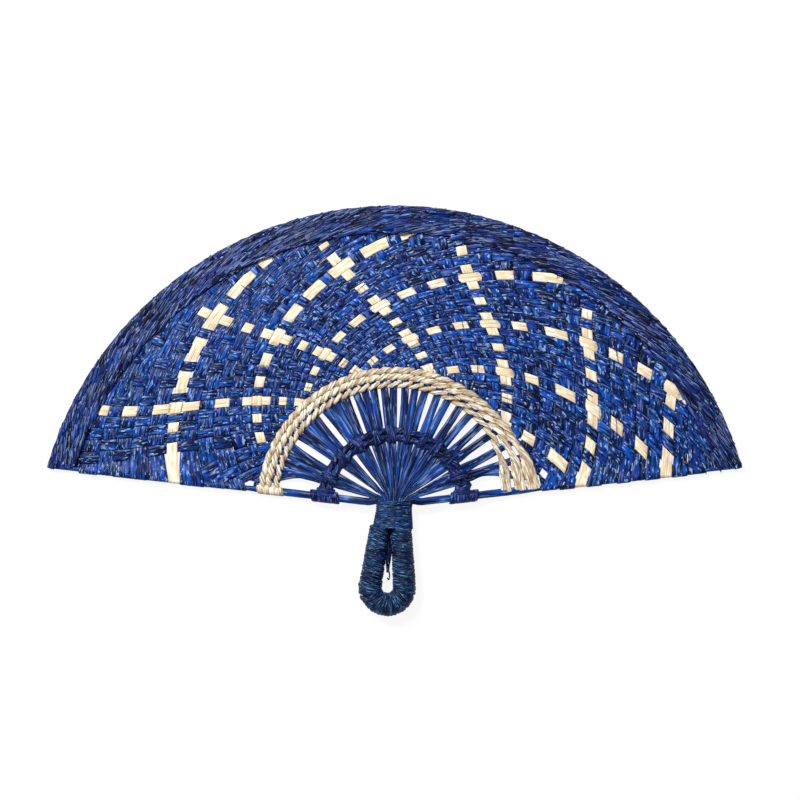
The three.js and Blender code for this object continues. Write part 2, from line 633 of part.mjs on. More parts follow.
// Carrying loop: the core bends down from the neck and back up to it
const bendRadius = (LOOP_RIGHT - LOOP_LEFT) / 2;
const bendX = (LOOP_RIGHT + LOOP_LEFT) / 2;
const bendY = -LOOP_BOTTOM + wrapRadius(LOOP_CORE_BOTTOM) + bendRadius;
const loopTop = -NECK_LENGTH - CLEARANCE;
const limbPoint = (top, wide, part) => vec(mix(top, wide, part), mix(loopTop, bendY, part), NECK_RISE);
const loopPoints = [limbPoint(LOOP_TOP_LEFT, LOOP_LEFT, 0), limbPoint(LOOP_TOP_LEFT, LOOP_LEFT, LOOP_KNEE)];
for (let step = 0; step <= LOOP_BEND_POINTS; step++) {
  const turn = Math.PI + (Math.PI * step) / LOOP_BEND_POINTS;
  loopPoints.push(polar(bendRadius, turn, NECK_RISE).add(vec(bendX, bendY, 0)));
}
loopPoints.push(limbPoint(LOOP_TOP_RIGHT, LOOP_RIGHT, LOOP_KNEE), limbPoint(LOOP_TOP_RIGHT, LOOP_RIGHT, 0));
const loopPath = new THREE.CatmullRomCurve3(loopPoints);

function loopFrame(u) {
  const centre = loopPath.getPointAt(u);
  const along = loopPath.getTangentAt(u);
  const across = UP.clone().cross(along);
  const core = mix(LOOP_CORE_TOP, LOOP_CORE_BOTTOM, Math.sin(Math.PI * u) ** LOOP_SWELL);
  return { centre, along, across, core };
}

const coreRings = [];
for (let step = 0; step <= LOOP_STEPS; step++) {
  const { centre, across, core } = loopFrame(step / LOOP_STEPS);
  coreRings.push(ovalRing(centre, across, UP, 2 * core, 2 * core, LOOP_SIDES));
}
piece('handle_loop', sweep(coreRings), BLUE);

// Least distance between points of a winding that are more than half a turn apart
function leastGap(rings, stepsPerTurn) {
  let least = Infinity;
  for (let a = 0; a < rings.length; a++) {
    for (let b = a + Math.ceil(stepsPerTurn / 2); b < rings.length; b++) {
      for (const p of rings[a]) {
        for (const q of rings[b]) least = Math.min(least, p.distanceTo(q));
      }
    }
  }
  return least;
}

// The ring moved on along the way that the winding runs at its end
function straightEnd(ring, before, length) {
  const sumOf = (points) => points.reduce((sum, point) => sum.add(point), vec(0, 0, 0));
  const shift = sumOf(ring).sub(sumOf(before)).setLength(length);
  return ring.map((point) => point.clone().add(shift));
}

function winding(name, turns, stepsPerTurn, cord) {
  const first = straightEnd(turns[0], turns[1], cord);
  const last = straightEnd(turns.at(-1), turns.at(-2), cord);
  const rings = [first, ...turns, last];
  console.log(`${name}: least gap between turns ${leastGap(rings, stepsPerTurn).toFixed(2)} mm`);
  piece(name, sweep(rings), TEAL);
}

// Wrap of the loop: the cord is squeezed where the turns crowd inside the bend
const wrapRings = [];
const wrapSpan = 1 - 2 * WRAP_START;
const wrapPitch = (loopPath.getLength() * wrapSpan) / WRAP_TURNS;
for (let step = 0; step <= WRAP_TURNS * WRAP_STEPS; step++) {
  const u = WRAP_START + (wrapSpan * step) / (WRAP_TURNS * WRAP_STEPS);
  const { centre, along, across, core } = loopFrame(u);
  const turn = (2 * Math.PI * step) / WRAP_STEPS;
  const outward = across.clone().multiplyScalar(Math.cos(turn)).addScaledVector(UP, Math.sin(turn));
  const radius = core + CLEARANCE + WRAP_CORD / 2;
  const nextU = Math.min(1, u + WRAP_START / 2);
  const next = loopFrame(nextU);
  const here = centre.clone().addScaledVector(outward, radius);
  const bend = next.across.clone().multiplyScalar(Math.cos(turn)).addScaledVector(UP, Math.sin(turn));
  const there = next.centre.clone().addScaledVector(bend, radius);
  const crowding = there.distanceTo(here) / next.centre.distanceTo(centre);
  const width = wrapPitch * crowding - WINDING_GAP;
  wrapRings.push(ovalRing(here, along, outward, width, WRAP_CORD, WINDING_SIDES));
}
winding('handle_wrap', wrapRings, WRAP_STEPS, WRAP_CORD);

// Binding of the neck
const bindingRings = [];
const bindingPitch = BINDING_CORD + WINDING_GAP;
const bindingTop = -NECK_LENGTH + CLEARANCE + BINDING_CORD / 2 + BINDING_TURNS * bindingPitch;
for (let step = 0; step <= BINDING_TURNS * BINDING_STEPS; step++) {
  const turn = (2 * Math.PI * step) / BINDING_STEPS;
  const halfWidth = NECK_HALF + NECK_BAR + CLEARANCE + BINDING_CORD / 2;
  const halfHeight = NECK_THICKNESS / 2 + CLEARANCE + BINDING_CORD / 2;
  const y = bindingTop - (step / BINDING_STEPS) * bindingPitch;
  const centre = vec(halfWidth * Math.cos(turn), y, NECK_RISE + halfHeight * Math.sin(turn));
  const outward = vec(Math.cos(turn) / halfWidth, 0, Math.sin(turn) / halfHeight).normalize();
  bindingRings.push(ovalRing(centre, vec(0, 1, 0), outward, BINDING_CORD, BINDING_CORD, WINDING_SIDES));
}
winding('neck_binding', bindingRings, BINDING_STEPS, BINDING_CORD);

// The origin is under the middle of the fan, on the surface that it lies on
const fan = new THREE.Group();
fan.add(...meshes);
const box = new THREE.Box3().setFromObject(fan);
fan.position.set(-(box.min.x + box.max.x) / 2, -(box.min.y + box.max.y) / 2, -box.min.z);

export default fan;
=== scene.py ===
# Half-moon hand fan, plaited from dyed palm leaf, lying front up on a pale table.
import math
import random
from collections import namedtuple

import bpy
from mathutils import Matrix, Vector


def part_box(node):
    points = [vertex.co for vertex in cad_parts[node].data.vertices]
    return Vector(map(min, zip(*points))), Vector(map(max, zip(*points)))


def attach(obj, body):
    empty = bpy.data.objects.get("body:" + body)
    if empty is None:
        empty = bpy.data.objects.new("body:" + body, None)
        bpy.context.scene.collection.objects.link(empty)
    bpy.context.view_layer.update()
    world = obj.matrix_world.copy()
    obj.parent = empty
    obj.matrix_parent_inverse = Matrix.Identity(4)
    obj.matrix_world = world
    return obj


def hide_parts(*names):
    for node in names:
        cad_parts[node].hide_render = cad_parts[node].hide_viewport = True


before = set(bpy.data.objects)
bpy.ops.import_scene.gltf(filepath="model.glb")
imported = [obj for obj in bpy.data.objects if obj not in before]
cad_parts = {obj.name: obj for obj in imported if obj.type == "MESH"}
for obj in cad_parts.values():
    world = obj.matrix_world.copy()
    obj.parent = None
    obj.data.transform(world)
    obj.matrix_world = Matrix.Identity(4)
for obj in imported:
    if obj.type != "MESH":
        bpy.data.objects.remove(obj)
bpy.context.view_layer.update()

# Edge rods
# Two leaf stalks, split and dyed with the leaf, run along the bottom edges from the neck to the rim.
# They stiffen the fan; the strips of the plait turn round them and the rows are wound on them.
MM = 0.001
RIM_RADIUS = 208.7
RIM_DROP = 36.4  # centre of the rim circle, below the neck
EDGE_RISE = math.radians(6.3)
ROD_RADIUS = 1.3
NECK_LENGTH = 14
NECK_PITCH = 1.3
NECK_RISE = 4.65  # the neck lies this much above the middle plane of the blade
NECK_BEND = 16  # radius at which a member has bent towards its own direction
RISE_RADIUS = 66
ROD_NECK_RADIUS = 2.2  # between the neck and the arch
ROD_THIN_START = 70
ROD_THIN_LENGTH = 20
ROD_STEPS = 90
ROD_TONE = 1.55
RIM_CORD_WIDTH = 4.4
STRANDS_PER_RIB = [1, 4, 4, 4, 3, 2, 3, 2, 2, 2, 2, 1]
MEMBERS = len(STRANDS_PER_RIB) + 2
UP = Vector((0, 0, 1))
rim_low, rim_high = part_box("rim_cord")
NECK = Vector((0, rim_high[1] - (RIM_RADIUS - RIM_DROP) * MM, (rim_low[2] + rim_high[2]) / 2))


def mix(low, high, share):
    return low + (high - low) * share


def clamp(value, low=0.0, high=1.0):
    return max(low, min(high, value))


def smooth_step(share):
    share = clamp(share)
    return share * share * (3 - 2 * share)


def polar(radius, angle, height=0.0):
    return Vector((radius * math.cos(angle), radius * math.sin(angle), height))


def climb(radius):
    """Height of a rib: it sinks from the neck to the plane of the blade."""
    return NECK_RISE * clamp((RISE_RADIUS - radius) / (RISE_RADIUS - NECK_LENGTH))


def edge_along(side):
    return Vector((side * math.cos(EDGE_RISE), math.sin(EDGE_RISE), 0))


def through(points, share):
    """Smooth curve through given points; share runs from 0 at the first to 1 at the last."""
    place = clamp(share) * (len(points) - 1)
    number = min(int(place), len(points) - 2)
    part = place - number
    here, there = points[number], points[number + 1]
    before = points[number - 1] if number else here * 2 - there
    after = points[number + 2] if number + 2 < len(points) else there * 2 - here
    bend = (here * 3 - before - there * 3 + after) * part ** 3
    curve = (before * 2 - here * 5 + there * 4 - after) * part ** 2
    return (here * 2 + (there - before) * part + curve + bend) * 0.5


def traced(points, steps):
    return [through(points, step / steps) for step in range(steps + 1)]


def ribbon(centres, ups, half_widths, half_thicknesses):
    """Rings of a leaf along the centres, facing the ups. One value may stand for all rings."""
    last = len(centres) - 1
    ups, half_widths, half_thicknesses = (
        values if isinstance(values, list) else [values] * len(centres)
        for values in (ups, half_widths, half_thicknesses)
    )
    rings = []
    for number, centre in enumerate(centres):
        travel = centres[min(last, number + 1)] - centres[max(0, number - 1)]
        across = ups[number].cross(travel).normalized()
        rise = travel.cross(across).normalized()
        rings.append((centre, across * half_widths[number], rise * half_thicknesses[number]))
    return rings


class Wire:
    """A value on a wire of a node tree. A sum that is written with it adds Math nodes."""

    def __init__(self, bench, socket):
        self.bench = bench
        self.socket = socket

    def math(self, operation, first, second=0.0):
        return self.bench.node("ShaderNodeMath", {"operation": operation}, {0: first, 1: second})

    def __add__(self, other):
        return self.math("ADD", self, other)

    def __radd__(self, other):
        return self.math("ADD", other, self)

    def __sub__(self, other):
        return self.math("SUBTRACT", self, other)

    def __rsub__(self, other):
        return self.math("SUBTRACT", other, self)

    def __mul__(self, other):
        return self.math("MULTIPLY", self, other)

    def __rmul__(self, other):
        return self.math("MULTIPLY", other, self)

    def __pow__(self, other):
        return self.math("POWER", self, other)

    def __abs__(self):
        return self.math("ABSOLUTE", self)

    def __gt__(self, other):
        return self.math("GREATER_THAN", self, other)


class Bench:
    """A node tree being put together. node() adds any node from its type, settings and sockets."""

    def __init__(self, tree):
        self.tree = tree
        tree.nodes.clear()

    def pick(self, sockets, key):
        if isinstance(key, int):
            return sockets[key]
        return next(socket for socket in sockets if socket.name == key and not socket.is_unavailable)

    def node(self, kind, settings=None, sockets=None, out=0):
        made = self.tree.nodes.new(kind)
        for name, value in (settings or {}).items():
            setattr(made, name, value)
        for key, value in (sockets or {}).items():
            place = self.pick(made.inputs, key)
            if isinstance(value, Wire):
                self.tree.links.new(value.socket, place)
            else:
                place.default_value = value
        if not made.outputs:
            return None
        if isinstance(out, tuple):
            return [Wire(self, self.pick(made.outputs, key)) for key in out]
        return Wire(self, self.pick(made.outputs, out))

    def ramp(self, value, low, high):
        """0 below low, 1 above high and smooth between."""
        sockets = {"Value": value, "From Min": low, "From Max": high}
        return self.node("ShaderNodeMapRange", {"interpolation_type": "SMOOTHSTEP"}, sockets)

    def blend(self, factor, first, second):
        sockets = {"Factor": factor, "A": first, "B": second}
        return self.node("ShaderNodeMix", {"data_type": "RGBA"}, sockets, "Result")


def leaf_tree():
    """Sweeps the section of a folded leaf along routes whose points carry the ring's half axes."""
    tree = bpy.data.node_groups.new("folded_leaf", "GeometryNodeTree")
    tree.interface.new_socket("Routes", in_out="INPUT", socket_type="NodeSocketGeometry")
    for name, kind in (
        ("Section Points", "NodeSocketInt"),
        ("Squareness", "NodeSocketFloat"),
        ("Folds", "NodeSocketFloat"),
        ("Crease", "NodeSocketFloat"),
        ("Fray", "NodeSocketFloat"),
        ("Material", "NodeSocketMaterial"),
    ):
        tree.interface.new_socket(name, in_out="INPUT", socket_type=kind)
    tree.interface.new_socket("Leaf", in_out="OUTPUT", socket_type="NodeSocketGeometry")
    bench = Bench(tree)

    def given(name):
        return bench.node("NodeGroupInput", out=name)

    def named(name, kind):
        settings = {"data_type": kind}
        return bench.node("GeometryNodeInputNamedAttribute", settings, {"Name": name}, "Attribute")

    def store(geometry, name, kind, value, domain="POINT"):
        settings = {"data_type": kind, "domain": domain}
        sockets = {"Geometry": geometry, "Name": name, "Value": value}
        return bench.node("GeometryNodeStoreNamedAttribute", settings, sockets, "Geometry")

    def vector(operation, first, second):
        sockets = {0: first, 1: second}
        return bench.node("ShaderNodeVectorMath", {"operation": operation}, sockets, "Vector")

    def scaled(axis, amount):
        sockets = {0: axis, "Scale": amount}
        return bench.node("ShaderNodeVectorMath", {"operation": "SCALE"}, sockets, "Vector")

    place = bench.node("GeometryNodeInputPosition")
    routes = store(given("Routes"), "centre", "FLOAT_VECTOR", place)
    rail = bench.node("GeometryNodeMeshToCurve", {}, {"Mesh": routes}, "Curve")

    sockets = {"Vertices": given("Section Points"), "Radius": 1.0}
    circle = bench.node("GeometryNodeMeshCircle", {}, sockets, "Mesh")
    x, y = bench.node("ShaderNodeSeparateXYZ", {}, {"Vector": place}, ("X", "Y"))

    def squared(value):
        size = abs(value) ** given("Squareness")
        return bench.node("ShaderNodeMath", {"operation": "SIGN"}, {0: value}) * size

    side = squared(x)
    wave = (side + 1) * given("Folds") * (math.pi / 2)
    crown = 1 - given("Crease") + given("Crease") * abs(wave.math("SINE", wave)) ** 0.5
    section = store(circle, "side", "FLOAT", side)
    section = store(section, "crown", "FLOAT", squared(y) * crown)
    profile = bench.node("GeometryNodeMeshToCurve", {}, {"Mesh": section}, "Curve")

    sockets = {"Curve": rail, "Profile Curve": profile, "Fill Caps": True}
    leaf = bench.node("GeometryNodeCurveToMesh", {}, sockets, "Mesh")
    u, t = named("side", "FLOAT"), named("crown", "FLOAT")
    along, tone = named("along", "FLOAT"), named("tone", "FLOAT")
    spot = bench.node("ShaderNodeCombineXYZ", {}, {"X": along * 0.35, "Y": u * 1.7, "Z": tone * 91})
    ragged = bench.node("ShaderNodeTexNoise", {}, {"Vector": spot, "Scale": 1.0, "Detail": 2.0}) - 0.5
    reach = u * (1 + given("Fray") * ragged)
    place = vector("ADD", named("centre", "FLOAT_VECTOR"), scaled(named("across", "FLOAT_VECTOR"), reach))
    place = vector("ADD", place, scaled(named("rise", "FLOAT_VECTOR"), t))
    leaf = bench.node("GeometryNodeSetPosition", {}, {"Geometry": leaf, "Position": place}, "Geometry")
    uv = bench.node("ShaderNodeCombineXYZ", {}, {"X": u, "Y": along})
    leaf = store(leaf, "leaf", "FLOAT2", uv, "CORNER")
    for spent in ("centre", "across", "rise", "side", "crown", "along"):
        leaf = bench.node("GeometryNodeRemoveAttribute", {}, {"Geometry": leaf, "Name": spent}, "Geometry")
    leaf = bench.node("GeometryNodeSetShadeSmooth", {}, {"Geometry": leaf}, "Geometry")
    leaf = bench.node("GeometryNodeRealizeInstances", {}, {"Geometry": leaf}, "Geometry")
    sockets = {"Geometry": leaf, "Material": given("Material")}
    leaf = bench.node("GeometryNodeSetMaterial", {}, sockets, "Geometry")
    bench.node("NodeGroupOutput", {}, {"Leaf": leaf})
    return tree


LEAF_TREE = leaf_tree()


def placed(name, data):
    item = bpy.data.objects.new(name, data)
    bpy.context.scene.collection.objects.link(item)
    return item


def made_by(tree, name, source, values):
    """A plain mesh object from a source mesh, a tree and the tree's named inputs."""
    piece = placed(name, source)
    maker = piece.modifiers.new("maker", "NODES")
    maker.node_group = tree
    for item in tree.interface.items_tree:
        if item.in_out == "INPUT" and item.name in values:
            maker[item.identifier] = values[item.name]
    done = piece.evaluated_get(bpy.context.evaluated_depsgraph_get())
    mesh = bpy.data.meshes.new_from_object(done)
    piece.modifiers.clear()
    piece.data = mesh
    return piece


def leaf_piece(name, routes, material, section, nodes):
    """A piece of swept leaves; a route is a list of rings and the tone of that leaf."""
    points, edges, tones, alongs = [], [], [], []
    sides, rises = [], []
    for rings, tone in routes:
        along = 0.0
        for number, (centre, across, rise) in enumerate(rings):
            if number:
                along += (centre - rings[number - 1][0]).length
                edges.append((len(points) - 1, len(points)))
            points.append(NECK + centre * MM)
            sides.extend(across * MM)
            rises.extend(rise * MM)
            alongs.append(along)
            tones.append(tone)
    source = bpy.data.meshes.new(name)
    source.from_pydata(points, edges, [])
    for label, kind, field, values in (
        ("across", "FLOAT_VECTOR", "vector", sides),
        ("rise", "FLOAT_VECTOR", "vector", rises),
        ("along", "FLOAT", "value", alongs),
        ("tone", "FLOAT", "value", tones),
    ):
        source.attributes.new(label, kind, "POINT").data.foreach_set(field, values)
    piece = made_by(LEAF_TREE, name, source, {**section, "Material": material})
    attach(piece, "root")
    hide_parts(*nodes)
    return piece


def srgb(red, green, blue):
    """Linear colour from the 8-bit values of a colour card."""
    parts = [part / 255 for part in (red, green, blue)]
    return [part / 12.92 if part < 0.04045 else ((part + 0.055) / 1.055) ** 2.4 for part in parts] + [1]


def palm(name, deep, body, cast, pale, mottle_and_glint, roughness):
    """Palm leaf: long fibres with dark and pale streaks, patches of the dye, and painted light: the pale
    streaks are partly painted sheen, the glints are painted highlights, and the darkening along the fold
    and at both edges is painted shade.
    """
    material = bpy.data.materials.new(name)
    material.use_nodes = True
    bench = Bench(material.node_tree)
    leaf = bench.node("ShaderNodeUVMap", {"uv_map": "leaf"})
    u, along = bench.node("ShaderNodeSeparateXYZ", {}, {"Vector": leaf}, ("X", "Y"))
    tone = bench.node("ShaderNodeAttribute", {"attribute_name": "tone"}, {}, "Fac")

    long = tone > 1  # a tone above 1 marks a whole leaf, with longer streaks
    stretch = 1 - long * 0.65
    spread = 1 - long * 0.4

    def grain(across, lengthwise, seed, detail=2.0):
        x = u * across * spread
        sockets = {"X": x, "Y": along * lengthwise * stretch, "Z": tone * 57 + seed}
        spot = bench.node("ShaderNodeCombineXYZ", {}, sockets)
        return bench.node("ShaderNodeTexNoise", {}, {"Vector": spot, "Scale": 1.0, "Detail": detail})

    fibre = grain(2.4, 0.1, 0, 3.0)
    patch = grain(0.5, 0.1, 11)
    dark = grain(1.7, 0.16, 19)
    streak = grain(3.2, 0.14, 23)
    glint = grain(2.8, 0.3, 37)
    hue = bench.blend(bench.ramp((tone - long) * 0.35 + patch * 0.65, 0.46, 0.62), body, cast)
    colour = bench.blend(bench.ramp(fibre, 0.38, 0.58), deep, hue)
    colour = bench.blend(bench.ramp(dark, 0.5, 0.62) * 0.85, colour, deep)
    colour = bench.blend(long * 0.28, colour, deep)
    shade = tone.math("FRACT", tone * 13.7)
    colour = bench.blend(bench.ramp(shade, 0.4, 1.0) * (mottle_and_glint * 0.75), colour, deep)
    # Pale streaks along the fibres: partly lighter fibres, partly painted sheen.
    colour = bench.blend(bench.ramp(streak, 0.56, 0.68) * (mottle_and_glint * 0.4), colour, pale)
    # Painted highlight: short bright glints blended toward the pale colour.
    colour = bench.blend(bench.ramp(glint, 0.6, 0.66) * (mottle_and_glint - long * (mottle_and_glint * 0.5)), colour, pale)
    # Painted shade: darker along the fold and at both edges of each strip, where strips meet.
    fold_crease = bench.ramp(abs(u), 0.14, 0.0) * bench.ramp(grain(0.2, 0.08, 5, 1.0), 0.4, 0.6)
    painted_edge_shade = bench.ramp(abs(u), 0.74, 1.0)
    colour = bench.blend(fold_crease * 0.5 + painted_edge_shade * 0.65, colour, deep)
    height = fibre * 0.7 + streak * 0.3 - fold_crease * 0.6
    sockets = {"Height": height, "Strength": 0.7, "Distance": 0.0006}
    bump = bench.node("ShaderNodeBump", {}, sockets, "Normal")
    rough = bench.ramp(streak, 0.3, 0.7) * 0.25 + roughness
    sockets = {"Base Color": colour, "Roughness": rough, "Normal": bump, "Specular IOR Level": 0.16}
    shader = bench.node("ShaderNodeBsdfPrincipled", {}, sockets)
    bench.node("ShaderNodeOutputMaterial", {}, {"Surface": shader})
    return material


BLUE_PALM = palm(
    "blue_palm",
    deep=srgb(2, 8, 40),
    body=srgb(5, 78, 178),
    cast=srgb(20, 58, 152),
    pale=srgb(156, 192, 250),
    mottle_and_glint=0.72,
    roughness=0.3,
)
STALK_SECTION = {"Section Points": 16, "Squareness": 0.9, "Folds": 3.0, "Crease": 0.3, "Fray": 0.15}


def neck_x(member):
    """Members stand side by side in the neck, counted from the left rod."""
    return (member - (MEMBERS - 1) / 2) * NECK_PITCH


def neck_points(member, angle):
    """A member rises out of the neck and bends towards its own direction."""
    x = neck_x(member)
    stand = 2 + MEMBERS / 2 - abs(x / NECK_PITCH)
    return [
        Vector((x, -NECK_LENGTH, NECK_RISE)),
        Vector((x, stand * 0.4, NECK_RISE)),
        polar(NECK_BEND, angle, climb(NECK_BEND)),
    ]


for side, name in ((-1, "left"), (1, "right")):
    heading = EDGE_RISE if side > 0 else math.pi - EDGE_RISE
    tip = 180.0
    while (edge_along(side) * tip + Vector((0, RIM_DROP, 0))).length < RIM_RADIUS - RIM_CORD_WIDTH / 2:
        tip += 0.5
    stops = neck_points(MEMBERS - 1 if side > 0 else 0, heading)
    stops += [polar(radius, heading, climb(radius)) for radius in (27, 46, RISE_RADIUS, 110, 150, tip)]
    centres = traced(stops, ROD_STEPS)
    thinned = [smooth_step((point.length - ROD_THIN_START) / ROD_THIN_LENGTH) for point in centres]
    girth = [mix(ROD_NECK_RADIUS, ROD_RADIUS, share) for share in thinned]
    routes = [(ribbon(centres, UP, girth, girth), ROD_TONE)]
    leaf_piece(f"stalk_{name}", routes, BLUE_PALM, STALK_SECTION, [f"edge_rod_{name}"])

# Ribs and the blue plait
# Each rib is a bundle of folded leaves, dyed blue. Past the arch every leaf is split into a strip that
# leans right and one that leans left; the strips go over one and under one, and turn round the edge rods.
WEAVE_RADIUS = 78
STRAND_MARGIN = math.radians(1.06)
STRAND_CROWDING = math.radians(99)
STRANDS = sum(STRANDS_PER_RIB)
RIB_STRANDS = []
for count in STRANDS_PER_RIB:
    first_strand = sum(len(strands) for strands in RIB_STRANDS)
    RIB_STRANDS.append(list(range(first_strand, first_strand + count)))
RIGHT_LEAN = math.radians(107.3)
RIGHT_LEAN_GROWTH = math.radians(5.6)
RIGHT_EASE = 0.214
LEFT_LEAN = math.radians(52.8)
LEFT_LEAN_AT_RIGHT = math.radians(253)
LEFT_LEAN_MIDDLE = 0.339
LEFT_EASE = 0.545
LEFT_LEVEL = range(4, 9)  # strands whose left run stays level above the left rod
LEFT_LEVEL_LANDING = math.radians(162.2)
LEFT_LEVEL_PITCH = math.radians(2.25)
RIGHT_TURN_PITCH = math.radians(3.3)
RIGHT_TURN_OPENING = math.radians(0.027)
FIRST_TURN = 0.05
BORDER_DEPTH = 15.6
STRIP_END_DEPTH = 6.7
SETTLE_DEPTH = 23.1
STRIP_KEEP = 2.2
PLAIT_RISE = 0.5  # height of the over level above the middle plane
STRIP_HALF_THICKNESS = 0.24
STRIP_FILL = 0.98  # part of its room that a strip takes
CROSS_FILL = 0.6  # the same beside a cross of two cream strips
LEAST_SLANT = 0.35
RIGHT_WIDEST = 16
LEFT_WIDEST = 5.6  # in the middle of the blade, between these shares of the arch
LEFT_MIDDLE = (0.35, 0.6)
LEFT_WIDENING = 14
STRIP_START = 1.7  # half width at the arch
SHORTEST_SLOPE = 1.0
STRIP_SECTION = {"Section Points": 20, "Squareness": 0.55, "Folds": 2.0, "Crease": 0.4, "Fray": 0.1}
CREAM_EVERY = 6
FIRST_CREAM = 2
CREAM_WIDTH = 6.0
HUNG_STRIPS = 9  # strips that hang on the left rod
HUNG_FIRST = 92
HUNG_PITCH = 12.6
HUNG_CLOSING = 0.25
HUNG_CREAM = 3
HUNG_LANDING = math.radians(2.2)
HUNG_OPENING = math.radians(0.02)
HUNG_EASE = 0.3
HUB_RADIUS = 40
RIB_WIDTH = 9
RIB_LEAST_WIDTH = 4
RIB_GAP = 1.5
RIB_STEPS = 60
LEAF_FILL = 0.62  # half width of a leaf as part of its pitch in the rib
INNER_LEAF_FILL = 0.95  # the same near the neck, in the ribs of the middle
MIDDLE_RIBS = 0.75  # angle to each side that counts as the middle
LEAF_HALF_WIDTH = 2.25  # where the leaves have parted
RIB_OPENING = 50  # radius at which the leaves of a rib start to part
OUTER_RIB_RISE = 0.11  # the first and last rib leave the hub above their place on the arch
LEVEL_RIB = 2  # rib whose piece holds the lowest of the level runs, which lies beside its own
chance = random.Random(11)


def share_of(strand):
    return (strand + 0.5) / STRANDS


def strand_angle(strand):
    share = share_of(strand)
    left = math.pi - EDGE_RISE - STRAND_MARGIN
    spread = left - EDGE_RISE - STRAND_MARGIN
    return left - spread * share + STRAND_CROWDING * share * share * (1 - share)


def rib_angle(strands):
    return sum(strand_angle(strand) for strand in strands) / len(strands)


def eased(depth, ease):
    return depth * (1 - ease * depth)


def right_sweep(depth, strand):
    lean = RIGHT_LEAN + RIGHT_LEAN_GROWTH * (share_of(strand) - 0.5)
    return lean * eased(depth, RIGHT_EASE)


def left_sweep(depth, strand):
    lean = LEFT_LEAN + LEFT_LEAN_AT_RIGHT * (share_of(strand) - LEFT_LEAN_MIDDLE) ** 3
    if strand in LEFT_LEVEL:
        landing = LEFT_LEVEL_LANDING - LEFT_LEVEL_PITCH * LEFT_LEVEL.index(strand)
        lean = (landing - strand_angle(strand)) / eased(1, LEFT_EASE)
    return lean * eased(depth, LEFT_EASE)


def blade_point(angle, depth):
    """Circles of equal depth slide from the neck, at the arch, to the rim's own centre."""
    return polar(mix(WEAVE_RADIUS, RIM_RADIUS, depth), angle) - Vector((0, RIM_DROP * depth, 0))


def inside_rim(point):
    return RIM_RADIUS - math.hypot(point.x, point.y + RIM_DROP)


def above_edge(point, side):
    return point.y * math.cos(EDGE_RISE) - side * point.x * math.sin(EDGE_RISE)


def edge_out(side):
    return Vector((side * math.sin(EDGE_RISE), -math.cos(EDGE_RISE), 0))


def root_between(low, high, f):
    falling = f(low) > 0
    for step in range(40):
        middle = (low + high) / 2
        if (f(middle) > 0) == falling:
            low = middle
        else:
            high = middle
    return (low + high) / 2


class Leg:
    """One leaning run of a strip, from the arch or an edge rod to the border or a rod."""

    def __init__(self, leans_right, order, start, angle, cream):
        self.leans_right = leans_right
        self.order = order
        self.start = start
        self.angle = angle
        self.cream = cream
        self.face_down = start > 0
        self.side = 1 if leans_right else -1
        self.crossings = []
        self.border = root_between(start, 1, lambda v: inside_rim(self.point(v)) - BORDER_DEPTH)
        self.end = root_between(start, 1, lambda v: inside_rim(self.point(v)) - STRIP_END_DEPTH)
        settle = root_between(start, 1, lambda v: inside_rim(self.point(v)) - SETTLE_DEPTH)
        meets_rod = 1
        if self.height(settle) < 0:
            meets_rod = root_between(start + 0.001, settle, self.height)
        self.turns = leans_right and FIRST_TURN < meets_rod < 1
        if self.turns:
            self.end = meets_rod
        elif self.height(self.end) < STRIP_KEEP:
            self.end = root_between(start, self.end, lambda v: self.height(v) - STRIP_KEEP)

    def point(self, depth):
        return blade_point(self.angle(depth), depth)

    def height(self, depth):
        return above_edge(self.point(depth), self.side)

    def heading(self, depth):
        return (self.point(depth + 0.001) - self.point(depth - 0.001)).normalized()


def is_cream(strand):
    return strand % CREAM_EVERY == FIRST_CREAM


def from_rod(leans_right, order, start, begin, landing, ease, cream):
    """A run that starts at a rod and goes to its landing on the rim."""
    lean = (landing - begin) / (eased(1, ease) - eased(start, ease))

    def angle(depth):
        return begin + lean * (eased(depth, ease) - eased(start, ease))

    return Leg(leans_right, order, start, angle, cream)


def turned(first):
    """The run after a turn leans left and lands one place further along the rim."""
    last = STRANDS - 1
    places = STRANDS - first.order
    onward = (RIGHT_TURN_PITCH + RIGHT_TURN_OPENING * places) * places
    landing = strand_angle(last) + left_sweep(1, last) - onward
    begin = first.angle(first.end)
    return from_rod(False, STRANDS + places, first.end, begin, landing, LEFT_EASE, first.cream)


def hung(place):
    """A strip that comes round the left rod and leans right."""
    foot = edge_along(-1) * (HUNG_FIRST + (HUNG_PITCH - HUNG_CLOSING * place) * place)

    def outside(depth):
        return math.hypot(foot.x, foot.y + RIM_DROP * depth) - mix(WEAVE_RADIUS, RIM_RADIUS, depth)

    start = root_between(0, 1, outside)
    begin = math.atan2(foot.y + RIM_DROP * start, foot.x)
    onward = (HUNG_LANDING + HUNG_OPENING * (place + 1) ** 2) * (place + 1)
    landing = strand_angle(0) - right_sweep(1, 0) + onward
    return from_rod(True, -1 - place, start, begin, landing, HUNG_EASE, place == HUNG_CREAM)


def strips_of(strand):
    """The right-leaning and the left-leaning strip of a strand, each as its legs in order."""
    base = strand_angle(strand)
    right = Leg(True, strand, 0.0, lambda v: base - right_sweep(v, strand), is_cream(strand))
    seen = is_cream(strand) and strand > FIRST_CREAM
    left = Leg(False, strand, 0.0, lambda v: base + left_sweep(v, strand), seen)
    return [[right, turned(right)] if right.turns else [right], [left]]


class Crossing:
    """Where a right-leaning leg meets a left-leaning one."""

    def __init__(self, depth, right, left):
        self.depth = depth
        self.legs = {True: right, False: left}
        self.point = right.point(depth)
        self.right_over = (right.order + left.order) % 2 == 0

    def level(self, leg):
        return PLAIT_RISE if self.right_over == leg.leans_right else -PLAIT_RISE

    def other(self, leg):
        return self.legs[not leg.leans_right]


